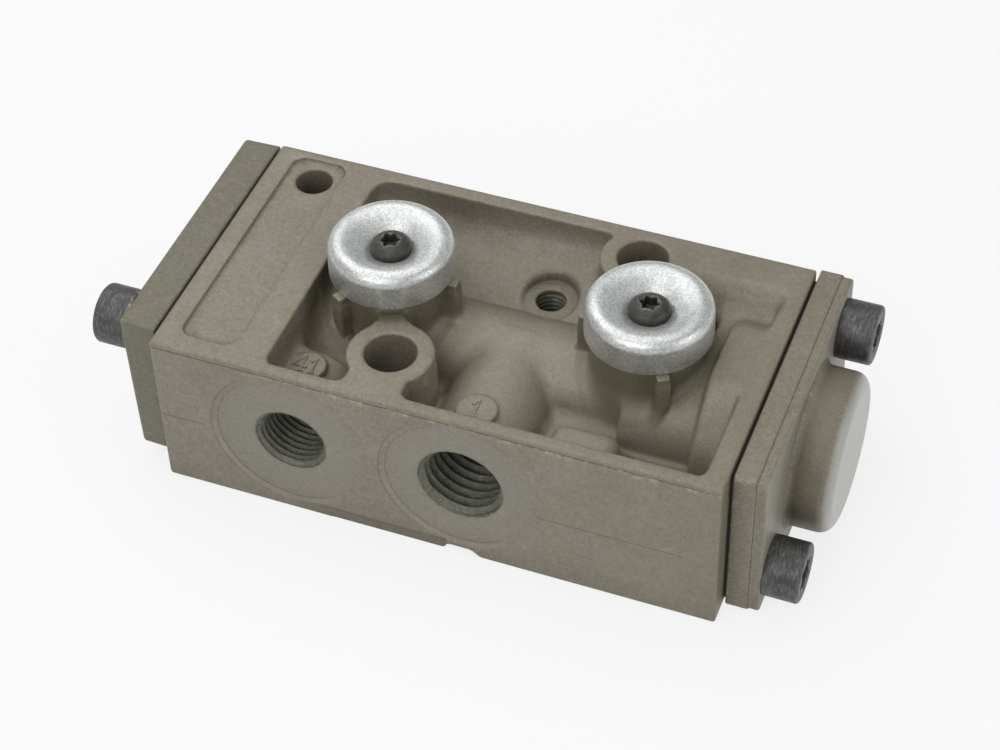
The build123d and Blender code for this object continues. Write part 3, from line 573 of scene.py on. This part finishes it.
# A pressed cup: a rim with a round shoulder, and a dish that eases down to the screw
def cup(name, cx):
    side, shoulder, height, wall = 8.7, 1.8, 3.5, 0.6
    dish_width, dish_depth = 4.5, 2.5
    middle = side - shoulder
    start = CUP_BASE + height
    profile = [(7.9, CUP_BASE), (8.55, CUP_BASE), (8.66, CUP_BASE + 0.05)]
    profile += [(side, CUP_BASE + 0.16), (side, start)]
    profile += arc(middle, start, shoulder, 4, 90, 16)
    dish = []
    for t in np.linspace(0, 1, 22)[1:]:
        ease = t * t * (1.6 - 0.6 * t)
        dish.append((middle - dish_width * t, start + shoulder - dish_depth * ease))
    profile += dish + [(1.7, CUP_BASE + 2.8), (1.7, CUP_BASE + 2.2)]
    profile += [(r, z - wall) for r, z in reversed(dish)]
    profile += arc(middle, start, 1.0, 90, 4, 10) + [(7.9, CUP_BASE + 3.0)]
    theta = np.linspace(0, 2 * math.pi, 180, endpoint=False)
    rings = [ring(theta, r, z, cx, AXIS_Y) for r, z in profile]
    return smooth_by_angle(mesh_from_rings(name, rings[::-1], closed_loop=True), 50)


# A button-head screw, spun and slightly tilted
def button_screw(name, cx, tilt, spin):
    profile = [(0.3, -7.5), (1.2, -7.5), (1.5, -7.2), (1.5, -0.02)]
    profile += [(2.5, 0.0), (2.74, 0.06), (2.8, 0.22), (2.8, 1.05)]
    profile += [(2.77, 1.22), (2.66, 1.4), (2.46, 1.6), (2.2, 1.8), (1.9, 1.97), (1.7, 2.05)]
    rings = spun(screw_rings(profile, recess_radius=1.38, top=2.1, depth=1.5), spin)
    turn = ((math.cos(tilt), 0, math.sin(tilt)), (0, 1, 0), (-math.sin(tilt), 0, math.cos(tilt)))
    return smooth_by_angle(mesh_from_rings(name, placed(rings, turn, (cx, AXIS_Y, CUP_SCREW_SEAT))), 40)


# Shader helpers
def shader(name):
    material = bpy.data.materials.new(name)
    material.use_nodes = True
    tree = material.node_tree
    return material, tree, tree.nodes["Principled BSDF"]


def feed(tree, socket, value):
    if hasattr(value, "node"):
        tree.links.new(value, socket)
    else:
        socket.default_value = value


# A new node; lower-case names are its properties, the others its inputs
def node(tree, kind, **values):
    made = tree.nodes.new(kind)
    for key, value in values.items():
        if key[0].islower():
            setattr(made, key, value)
        else:
            feed(tree, made.inputs[key], value)
    return made


def noise(tree, vector, scale, detail, roughness, distortion=0.0):
    made = node(
        tree, "ShaderNodeTexNoise",
        Vector=vector, Scale=scale, Detail=detail, Roughness=roughness, Distortion=distortion,
    )
    return made.outputs["Fac"]


def remap(tree, value, low, high, out_low=0.0, out_high=1.0):
    made = node(tree, "ShaderNodeMapRange", clamp=True)
    for i, v in enumerate((value, low, high, out_low, out_high)):
        feed(tree, made.inputs[i], v)
    return made.outputs[0]


def maths(tree, operation, a, b=0.0):
    made = node(tree, "ShaderNodeMath", operation=operation)
    feed(tree, made.inputs[0], a)
    feed(tree, made.inputs[1], b)
    return made.outputs[0]


def times(tree, first, *others):
    for other in others:
        first = maths(tree, "MULTIPLY", first, other)
    return first


def minus(tree, a, b):
    return maths(tree, "SUBTRACT", a, b)


# 1 above, and 1 below, a place in millimetres
def above(tree, value, place):
    return maths(tree, "GREATER_THAN", value, place * MM)


def below(tree, value, place):
    return maths(tree, "LESS_THAN", value, place * MM)


# From 0 up to 1, and from 1 down to 0, between two places in millimetres
def rise(tree, value, low, high):
    return remap(tree, value, low * MM, high * MM)


def fall(tree, value, low, high):
    return remap(tree, value, low * MM, high * MM, 1.0, 0.0)


# A line at a place in millimetres: 1 within its core, fading to 0 at its edge
def line_at(tree, value, place, core, edge):
    return fall(tree, maths(tree, "ABSOLUTE", minus(tree, value, place * MM)), core, edge)


# How far two coordinates are from a centre in millimetres, each and together
def from_centre(tree, a, b, centre_a, centre_b):
    da, db = minus(tree, a, centre_a * MM), minus(tree, b, centre_b * MM)
    squares = maths(tree, "ADD", maths(tree, "MULTIPLY", da, da), maths(tree, "MULTIPLY", db, db))
    return da, db, maths(tree, "SQRT", squares)


def mix(tree, factor, a, b):
    made = node(tree, "ShaderNodeMix", data_type="RGBA")
    for i, value in ((0, factor), (6, a), (7, b)):
        feed(tree, made.inputs[i], (*value, 1.0) if isinstance(value, tuple) else value)
    return made.outputs[2]


def blended(tree, colour, factor, amount, tint):
    return mix(tree, maths(tree, "MULTIPLY", factor, amount), colour, tint)


def bump(tree, height, distance, strength, normal=None):
    made = node(tree, "ShaderNodeBump", Height=height, Strength=strength, Distance=distance)
    if normal is not None:
        tree.links.new(normal, made.inputs["Normal"])
    return made.outputs["Normal"]


def srgb(r, g, b):
    return tuple((c / 255 / 12.92) if c <= 10 else ((c / 255 + 0.055) / 1.055) ** 2.4 for c in (r, g, b))


def position(tree):
    return node(tree, "ShaderNodeTexCoord").outputs["Object"]


def parts_of(tree, vector):
    made = node(tree, "ShaderNodeSeparateXYZ")
    tree.links.new(vector, made.inputs[0])
    return made.outputs


def connect(tree, bsdf, colour, rough, relief, metallic):
    for socket, value in (("Base Color", colour), ("Roughness", rough), ("Normal", relief)):
        tree.links.new(value, bsdf.inputs[socket])
    bsdf.inputs["Metallic"].default_value = metallic


# A hairline where the two halves of the mould met: a wavering line at one level of one axis
def hairline(tree, at, axis, level, half, limits):
    axes = parts_of(tree, at)
    waver = maths(tree, "MULTIPLY", minus(tree, noise(tree, at, 260, 3, 0.6), 0.5), 0.16 * MM)
    gap = maths(tree, "ABSOLUTE", maths(tree, "ADD", minus(tree, axes[axis], level * MM), waver))
    line = fall(tree, gap, half * 0.3, half)
    for other, low, high in limits:
        line = times(tree, line, above(tree, axes[other], low), below(tree, axes[other], high))
    return line


# Blasted casting: clouds of two greys, olive patches and edges, painted shade in hollows and creases,
# # fine specks and pits, pale rubbed edges that also carry a painted highlight, mould lines
def casting(name, main, warm, pale, dark, olive, hairlines=(), detail=None):
    material, tree, bsdf = shader(name)
    at = position(tree)
    clouds = remap(tree, noise(tree, at, 90, 5, 0.6, 0.4), 0.36, 0.66)
    colour = mix(tree, clouds, main, warm)
    patches = remap(tree, noise(tree, at, 330, 6, 0.68), 0.40, 0.68)
    colour = blended(tree, colour, patches, 0.45, olive)
    edge = node(tree, "ShaderNodeAmbientOcclusion", samples=6, inside=True, Distance=0.0013)
    near_edge = remap(tree, edge.outputs["AO"], 0.50, 0.97, 1.0, 0.0)
    colour = blended(tree, colour, near_edge, 0.60, olive)
    # Painted shade: darker where little open air reaches, in hollows and under things
    open_air = node(tree, "ShaderNodeAmbientOcclusion", samples=6, Distance=0.0065)
    hollow = remap(tree, open_air.outputs["AO"], 0.20, 0.95, 1.0, 0.0)
    colour = blended(tree, colour, hollow, 0.38, dark)
    specks = remap(tree, noise(tree, at, 5200, 3, 0.6), 0.54, 0.76)
    colour = blended(tree, colour, specks, 0.60, pale)
    pits = remap(tree, noise(tree, at, 3300, 3, 0.6), 0.56, 0.76)
    colour = blended(tree, colour, pits, 0.50, dark)
    mottle = noise(tree, at, 1500, 5, 0.75)
    colour = blended(tree, colour, remap(tree, mottle, 0.50, 0.72), 0.24, dark)
    colour = blended(tree, colour, remap(tree, mottle, 0.28, 0.48, 1.0, 0.0), 0.24, pale)
    bend = node(tree, "ShaderNodeNewGeometry").outputs["Pointiness"]
    # Pale convex edges: rubbed wear, and also a painted highlight along the rounded edges
    patchy = remap(tree, noise(tree, at, 900, 5, 0.7), 0.36, 0.56)
    rubbed_and_highlit_edges = maths(tree, "MULTIPLY", remap(tree, bend, 0.53, 0.60), patchy)
    colour = blended(tree, colour, rubbed_and_highlit_edges, 0.42, pale)
    # Painted shade in concave creases
    painted_crease_shade = remap(tree, bend, 0.42, 0.487, 1.0, 0.0)
    colour = blended(tree, colour, painted_crease_shade, 0.55, dark)
    relief = bump(tree, noise(tree, at, 2600, 5, 0.68), 0.0001, 0.7)
    relief = bump(tree, noise(tree, at, 260, 3, 0.5), 0.0004, 0.22, relief)
    for axis, level, half, limits in hairlines:
        line = hairline(tree, at, axis, level, half, limits)
        colour = blended(tree, colour, line, 0.75, dark)
        relief = bump(tree, minus(tree, 1.0, line), 0.00006, 0.6, relief)
    rough = remap(tree, noise(tree, at, 700, 4, 0.6), 0.3, 0.7, 0.42, 0.58)
    if detail:
        colour, rough, relief = detail(tree, at, colour, rough, relief)
    connect(tree, bsdf, colour, rough, relief, 0.25)
    return material


# The two spot faces: pale with fine turning lines, ringed by a painted highlight on the step's lower side and
# by painted shade lines on the left and lower sides; painted shade in the bores
def spot_faces(tree, at, axes, colour, relief):
    x, y, z = axes
    sunk = below(tree, y, FRONT + 0.42)
    level = times(tree, sunk, above(tree, y, FRONT + 0.28))
    worn = remap(tree, noise(tree, at, 1500, 5, 0.7), 0.34, 0.62, 1.0, 0.45)
    for (cx, cz), bore in ((SUPPLY, 6.3), (PILOT, 5.4)):
        dx, dz, rho = from_centre(tree, x, z, cx, cz)
        left = fall(tree, dx, -9.5, -3.0)
        lower = fall(tree, maths(tree, "ADD", dz, maths(tree, "MULTIPLY", dx, 0.5)), -9.0, -4.0)
        face = times(tree, fall(tree, rho, 9.8, 10.75), level, worn)
        colour = blended(tree, colour, face, 0.62, srgb(139, 138, 130))
        # Painted highlight: the step lit on its lower side
        step = times(tree, line_at(tree, rho, 11.2, 0.25, 0.5), sunk, lower)
        colour = blended(tree, colour, step, 0.25, srgb(166, 160, 146))
        # Painted shade: a dark line on the sunk edge, on the left and lower sides only
        painted_rim_shade = times(tree, line_at(tree, rho, 10.72, 0.03, 0.13), sunk, maths(tree, "MAXIMUM", left, lower))
        colour = blended(tree, colour, painted_rim_shade, 0.35, srgb(74, 70, 58))
        # Painted shade: a dark outline at the cone's outer edge, on the left side only
        outline = times(tree, line_at(tree, rho, 11.62, 0.05, 0.16), below(tree, y, FRONT + 0.1), left)
        colour = blended(tree, colour, outline, 0.42, srgb(88, 84, 66))
        turning = maths(tree, "SINE", maths(tree, "MULTIPLY", rho, 2 * math.pi / (0.22 * MM)))
        relief = bump(tree, maths(tree, "MULTIPLY", turning, face), 0.00001, 0.35, relief)
        # Painted shade inside the port bores
        inside = times(tree, below(tree, rho, bore), above(tree, y, FRONT + 0.8))
        inside = times(tree, inside, below(tree, y, FRONT + 10.5))
        colour = blended(tree, colour, inside, 0.75, srgb(58, 59, 50))
    return colour, relief


# The body's tints: spot faces, painted shade in the strip at the foot, chips of flash along the front edge,
# # painted shade on the chimneys and the rear floor, painted light on the open front floor, and more olive
# towards the right
def body_detail(tree, at, colour, rough, relief):
    axes = parts_of(tree, at)
    x, y, z = axes
    colour, relief = spot_faces(tree, at, axes, colour, relief)
    # Painted shade in the set-back strip at the foot of the front face
    foot = times(tree, below(tree, z, 2.0), below(tree, y, FRONT + 0.6), below(tree, x, 1.9))
    foot = times(tree, foot, rise(tree, x, -21.0, -15.0))
    colour = blended(tree, colour, foot, 0.40, srgb(92, 86, 70))
    band = times(tree, rise(tree, z, 23.9, 24.6), below(tree, y, FRONT + 0.15), below(tree, z, 25.0))
    band = times(tree, band, rise(tree, x, -30.0, -24.0))
    chips = times(tree, band, remap(tree, noise(tree, at, 800, 5, 0.7), 0.50, 0.60))
    colour = blended(tree, colour, chips, 0.7, srgb(182, 168, 140))
    # Painted shade on the chimneys and their fins, under the cups
    chimney_shade_heights = times(tree, rise(tree, z, 14.5, 17.0), below(tree, z, 26.9))
    for cx, _ in EXHAUSTS:
        rho = from_centre(tree, x, y, cx, AXIS_Y)[2]
        tower = times(tree, fall(tree, rho, 9.75, 9.95), chimney_shade_heights)
        colour = blended(tree, colour, tower, 0.42, srgb(88, 84, 62))
    # Painted shade on the rear floor, in the lee of the rear wall
    rear = times(tree, rise(tree, y, 5.5, 8.5), fall(tree, z, 19.0, 23.0))
    rear = times(tree, rear, above(tree, z, 15.0), below(tree, y, BACK - 1.2))
    colour = blended(tree, colour, rear, 0.30, srgb(92, 88, 74))
    # Painted light: the open front floor of the pocket made paler
    painted_light_open_floor = times(tree, fall(tree, y, 2.0, 6.0), fall(tree, z, 20.5, 22.5))
    painted_light_open_floor = times(tree, painted_light_open_floor, above(tree, y, FRONT_WALL + 0.3))
    colour = blended(tree, colour, painted_light_open_floor, 0.26, srgb(176, 167, 150))
    colour = blended(tree, colour, rise(tree, x, 5.0, 34.0), 0.22, srgb(122, 116, 92))
    return colour, rough, relief


# The right cover's boss: a dark side with painted shade at its root, and a smooth end made light partly by a
# painted highlight; a painted reflection on the plate's face
def boss_detail(tree, at, colour, rough, relief):
    x = parts_of(tree, at)[0]
    side = times(tree, rise(tree, x, 45.2, 46.2), fall(tree, x, 49.4, 50.4))
    colour = blended(tree, colour, side, 0.50, srgb(100, 94, 76))
    # Painted reflection: the plate's outer face made pale
    face = times(tree, above(tree, x, 44.9), below(tree, x, 45.06))
    colour = blended(tree, colour, face, 0.60, srgb(164, 161, 150))
    # Painted shade round the boss's root
    painted_root_shade = times(tree, rise(tree, x, 45.6, 46.4), fall(tree, x, 46.4, 48.2))
    colour = blended(tree, colour, painted_root_shade, 0.35, srgb(74, 70, 52))
    # Smooth end: lower roughness, and a pale colour that is partly a painted highlight
    end = rise(tree, x, 50.0, 50.9)
    colour = blended(tree, colour, end, 0.7, srgb(186, 187, 183))
    rough = minus(tree, rough, times(tree, minus(tree, rough, 0.30), end))
    return colour, rough, relief


# Fine zinc spangle: small bright facets tilted at random
def zinc_coat():
    material, tree, bsdf = shader("zinc_coat")
    at = position(tree)
    flakes = node(tree, "ShaderNodeTexVoronoi", Vector=at, Scale=5200.0, Randomness=1.0)
    tone, tilt, polish = parts_of(tree, flakes.outputs["Color"])
    colour = mix(tree, tone, srgb(198, 201, 199), srgb(242, 244, 242))
    clouds = remap(tree, noise(tree, at, 240, 5, 0.6), 0.35, 0.65)
    colour = blended(tree, colour, clouds, 0.22, srgb(184, 188, 187))
    flecks = remap(tree, noise(tree, at, 4200, 3, 0.6), 0.58, 0.74)
    colour = blended(tree, colour, flecks, 0.35, srgb(120, 124, 122))
    relief = bump(tree, tilt, 0.00006, 0.8)
    relief = bump(tree, noise(tree, at, 4200, 4, 0.6), 0.00002, 0.35, relief)
    rough = remap(tree, polish, 0, 1, 0.30, 0.48)
    connect(tree, bsdf, colour, rough, relief, 0.85)
    return material


# Black oxide with grey scuffs and rubbed edges that also carry painted glints; a stretch below 1 draws the
# scuffs out across X
def black_oxide(name, scuffs, low, high, stretch):
    material, tree, bsdf = shader(name)
    at = position(tree)
    clouds = remap(tree, noise(tree, at, 700, 6, 0.7), 0.34, 0.68)
    colour = mix(tree, clouds, low, high)
    drawn = node(tree, "ShaderNodeMapping", Vector=at, Scale=(1.0, stretch, stretch))
    streaks = remap(tree, noise(tree, drawn.outputs[0], 4200, 6, 0.8), 0.50, 0.72)
    colour = blended(tree, colour, streaks, scuffs, srgb(168, 168, 167))
    # Pale convex edges: rubbed wear, and also painted glints
    edge = node(tree, "ShaderNodeAmbientOcclusion", samples=6, inside=True, Distance=0.0006)
    worn = remap(tree, edge.outputs["AO"], 0.45, 0.85, 1.0, 0.0)
    worn = times(tree, worn, remap(tree, noise(tree, at, 1800, 5, 0.7), 0.42, 0.60))
    colour = blended(tree, colour, worn, 0.7, srgb(196, 194, 190))
    relief = bump(tree, noise(tree, at, 2600, 4, 0.65), 0.00005, 0.5)
    rough = remap(tree, noise(tree, at, 900, 4, 0.6), 0.3, 0.7, 0.38, 0.58)
    connect(tree, bsdf, colour, rough, relief, 0.55)
    return material


# Plain kinds for what is hidden inside, each with its own grain; the alloy has turning lines
def inner(name, low, high, metallic, rough, grain, depth, turned=False):
    material, tree, bsdf = shader(name)
    at = position(tree)
    clouds = remap(tree, noise(tree, at, grain, 4, 0.6), 0.35, 0.65)
    colour = mix(tree, clouds, low, high)
    relief = bump(tree, noise(tree, at, grain * 6, 4, 0.6), depth, 0.4)
    if turned:
        wave = node(
            tree, "ShaderNodeTexWave",
            wave_type="BANDS", bands_direction="X", Vector=at, Scale=2400.0, Distortion=1.5,
        )
        relief = bump(tree, wave.outputs["Fac"], 0.000008, 0.3, relief)
    polish = remap(tree, noise(tree, at, grain * 2, 4, 0.6), 0.3, 0.7, *rough)
    connect(tree, bsdf, colour, polish, relief, metallic)
    return material


def dress(obj, material):
    obj.data.materials.clear()
    obj.data.materials.append(material)
    return obj


# Mould lines: the axis across, the place on it, half the width, and the limits on the other axes
front_face = (1, FRONT - 1.0, FRONT + 0.12)
body_lines = (
    (2, 12.3, 0.10, (front_face, (0, -40.0, -33.0))),
    (2, 11.6, 0.09, (front_face, (0, 13.0, 35.5))),
    (2, 25.0, 0.16, (front_face, (0, -39.6, 39.0))),
)
cover_lines = ((0, 43.5, 0.07, ((0, 43.0, 44.0),)),)
body_metal = casting(
    "cast_body",
    main=srgb(133, 126, 115), warm=srgb(143, 134, 124), pale=srgb(182, 174, 154), dark=srgb(65, 65, 46),
    olive=srgb(126, 123, 99), hairlines=body_lines, detail=body_detail,
)
left_metal = casting(
    "cast_left_cover",
    main=srgb(111, 108, 96), warm=srgb(119, 113, 101), pale=srgb(166, 162, 147), dark=srgb(60, 58, 46),
    olive=srgb(112, 110, 91),
)
right_metal = casting(
    "cast_right_cover",
    main=srgb(130, 124, 110), warm=srgb(137, 131, 117), pale=srgb(182, 178, 162), dark=srgb(62, 58, 44),
    olive=srgb(124, 119, 98), hairlines=cover_lines, detail=boss_detail,
)
thread_metal = casting(
    "cut_threads",
    main=srgb(112, 111, 101), warm=srgb(120, 117, 106), pale=srgb(176, 176, 164), dark=srgb(34, 36, 29),
    olive=srgb(96, 97, 84),
)
zinc = zinc_coat()
cap_metal = black_oxide(
    "black_oxide_cap", scuffs=0.55, low=srgb(66, 66, 66), high=srgb(92, 91, 90), stretch=0.2
)
button_metal = black_oxide(
    "black_oxide_button", scuffs=0.22, low=srgb(56, 57, 50), high=srgb(76, 77, 68), stretch=1.0
)
rubber = inner(
    "rubber", srgb(24, 24, 22), srgb(36, 35, 31), metallic=0.0, rough=(0.60, 0.80), grain=600, depth=0.00004
)
alloy = inner(
    "turned_alloy", srgb(186, 188, 190), srgb(205, 206, 208),
    metallic=0.9, rough=(0.22, 0.34), grain=500, depth=0.00001, turned=True,
)
plastic = inner(
    "spacer_plastic", srgb(196, 190, 170), srgb(210, 204, 186),
    metallic=0.0, rough=(0.45, 0.60), grain=400, depth=0.00002,
)
spring_metal = inner(
    "spring_steel", srgb(150, 150, 152), srgb(176, 176, 178),
    metallic=0.9, rough=(0.25, 0.40), grain=900, depth=0.00001,
)

# New pieces that stand for CAD nodes, with their slots: castings, cover screws, cups and their screws
pieces = {}
body = mesh_from_field(
    "body_casting", body_field, (-HALF, FRONT, 0.0), (HALF, BACK, POST_TOP), most=190000
)
pieces["valve_body"] = (dress(body, body_metal), "cast_body")
left_cover = mesh_from_field(
    "left_cover_casting", left_cover_field, (-45.6, FRONT + 2, 1.5), (-40.25, BACK, TOP), most=40000
)
pieces["left_end_cover"] = (dress(left_cover, left_metal), "cast_cover")
right_cover = mesh_from_field(
    "right_cover_casting", right_cover_field, (40.4, -18.5, 0.0), (51.25, 23.1, 25.2), most=90000
)
pieces["right_end_cover"] = (dress(right_cover, right_metal), "cast_cover")

left_turn = ((0, 0, -1), (0, 1, 0), (1, 0, 0))
right_turn = ((0, 0, 1), (0, 1, 0), (-1, 0, 0))
left_caps = cap_screws("left_cap_screws", LEFT_SCREWS, left_turn, base_x=-45.35, shank=13.35)
right_caps = cap_screws("right_cap_screws", RIGHT_SCREWS, right_turn, base_x=45.0, shank=13.0)
pieces["left_cover_screws"] = (dress(left_caps, cap_metal), "black_oxide")
pieces["right_cover_screws"] = (dress(right_caps, cap_metal), "black_oxide")

for side, (cx, _), tilt, spin in (("left", EXHAUSTS[0], -0.035, 0.35), ("right", EXHAUSTS[1], 0.0, 0.1)):
    pieces["exhaust_cup_" + side] = (dress(cup("cup_" + side, cx), zinc), "zinc")
    screw = button_screw("cup_screw_" + side, cx, tilt, spin)
    pieces["exhaust_screw_" + side] = (dress(screw, button_metal), "black_oxide")

for cad_name, (obj, slot) in pieces.items():
    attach(obj, "housing")
    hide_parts(cad_name)

# Threaded liners: name, sizes, length, start, and the ways right, up and inwards
inwards = ((1, 0, 0), (0, 0, 1), (0, 1, 0))
downwards = ((1, 0, 0), (0, -1, 0), (0, 0, -1))
spot_y = FRONT + SPOT_DEPTH
for name, sizes, length, start, ways in (
    ("supply_thread", SUPPLY_THREAD, 9.0, (SUPPLY[0], spot_y, SUPPLY[1]), inwards),
    ("pilot_thread", PILOT_THREAD, 8.0, (PILOT[0], spot_y, PILOT[1]), inwards),
    ("tapped_thread", TAPPED_THREAD, 6.2, (*TAPPED, 17.58), downwards),
):
    obj = dress(thread(name, sizes, length, start, *ways), thread_metal)
    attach(obj, "housing")

# Plain raised numbers on the two round pads: the strokes of each digit, one unit tall
STROKES = {
    "1": (((-0.26, 0.70), (0.0, 1.0), (0.0, 0.0)), ((-0.16, 0.0), (0.16, 0.0))),
    "4": (((0.38, 0.27), (-0.40, 0.27), (0.12, 1.0), (0.12, 0.0)), ((-0.06, 0.0), (0.30, 0.0))),
}


def number(name, text, chimney_shade_heights, pad):
    x, y, _, top = pad
    stroke_radius, lift, spacing = 0.2, 0.03, 0.72
    curve = bpy.data.curves.new(name, "CURVE")
    curve.dimensions = "3D"
    curve.bevel_depth = stroke_radius * MM
    curve.bevel_resolution = 3
    curve.use_fill_caps = True
    for i, digit in enumerate(text):
        shift = (i - (len(text) - 1) / 2) * spacing * chimney_shade_heights
        for line in STROKES[digit]:
            spline = curve.splines.new("POLY")
            spline.points.add(len(line) - 1)
            for point, (u, v) in zip(spline.points, line):
                place = (x + shift + u * chimney_shade_heights, y + (v - 0.5) * chimney_shade_heights, top + lift)
                point.co = (*(c * MM for c in place), 1.0)
    holder = linked(name + "_strokes", curve)
    bpy.context.view_layer.update()
    graph = bpy.context.evaluated_depsgraph_get()
    mesh = bpy.data.meshes.new_from_object(holder.evaluated_get(graph))
    bpy.data.objects.remove(holder)
    obj = dress(linked(name, mesh), body_metal)
    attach(obj, "housing")


number("number_supply", "1", 2.9, SUPPLY_PAD)
number("number_pilot", "41", 2.7, PILOT_PAD)

# Finishes for the nodes that stay
finishes = {
    "rubber": rubber, "turned_alloy": alloy, "spacer_plastic": plastic, "spring_steel": spring_metal,
    "zinc": zinc, "black_oxide": cap_metal, "cast_body": body_metal, "cast_cover": right_metal,
}
slots = {part["node"]: part["material_slot"] for part in frame["record"]["subparts"]}
for name, obj in nodes.items():
    dress(obj, finishes[slots[name]])

# Floor: matt to the light, and mostly plain white to the camera
reach = 3.0
corners = [(-reach, -reach, 0), (reach, -reach, 0), (reach, reach, 0), (-reach, reach, 0)]
floor = mesh_object("floor", corners, [(0, 1, 2, 3)])
floor_material, tree, bsdf = shader("floor")
bsdf.inputs["Base Color"].default_value = (0.8, 0.8, 0.8, 1)
bsdf.inputs["Roughness"].default_value = 0.9
bsdf.inputs["Specular IOR Level"].default_value = 0.0
rays = node(tree, "ShaderNodeLightPath").outputs
white = node(tree, "ShaderNodeEmission", Strength=1.0)
seen = maths(tree, "MAXIMUM", rays["Is Camera Ray"], rays["Is Glossy Ray"])
seen = maths(tree, "MAXIMUM", seen, rays["Is Transmission Ray"])
blend = node(tree, "ShaderNodeMixShader")
for i, value in enumerate((maths(tree, "MULTIPLY", seen, 0.80), bsdf.outputs[0], white.outputs[0])):
    tree.links.new(value, blend.inputs[i])
tree.links.new(blend.outputs[0], tree.nodes["Material Output"].inputs["Surface"])
dress(floor, floor_material)

# White surroundings, dimmer as a light than as the background
world = bpy.data.worlds.new("studio")
bpy.context.scene.world = world
world.use_nodes = True
tree = world.node_tree
background = tree.nodes["Background"]
background.inputs["Color"].default_value = (1, 1, 1, 1)
camera_ray = node(tree, "ShaderNodeLightPath").outputs["Is Camera Ray"]
tree.links.new(remap(tree, camera_ray, 0, 1, 0.38, 1.0), background.inputs["Strength"])


def lamp(name, location, target, size, power):
    light = bpy.data.lights.new(name, "AREA")
    light.shape = "RECTANGLE"
    light.size, light.size_y = size
    light.energy = power
    obj = linked(name, light)
    obj.location = location
    obj.visible_camera = False
    aim = Vector(target) - Vector(location)
    obj.rotation_euler = aim.to_track_quat("-Z", "Y").to_euler()


# Name, place and aim in metres, size, power
lamp("key", (-0.19, 0.12, 0.22), (-0.02, 0, 0.01), (0.20, 0.20), 0.14)
lamp("overhead", (-0.08, 0.04, 0.42), (0, 0, 0.01), (0.50, 0.44), 0.74)
lamp("side", (0.50, -0.05, 0.24), (0, 0, 0.01), (0.30, 0.30), 0.50)
lamp("fill", (-0.05, -0.38, 0.34), (0, 0, 0.01), (0.42, 0.30), 0.80)

# The photo's camera: its ways right, down and ahead, and its place in metres
camera = bpy.data.cameras.new("camera")
camera.lens = 88.28
camera.sensor_width = 36.0
camera.sensor_fit = "HORIZONTAL"
camera.clip_start = 0.01
holder = linked("camera", camera)
right = (0.93404, 0.35649, -0.02225)
down = (0.23840, -0.66860, -0.70438)
ahead = (-0.26598, 0.65261, -0.70948)
place = (0.091907, -0.221267, 0.253590)
rows = [(right[i], -down[i], -ahead[i], place[i]) for i in range(3)]
holder.matrix_world = Matrix(rows + [(0, 0, 0, 1)])
bpy.context.scene.camera = holder
bpy.context.scene.view_settings.view_transform = "Standard"
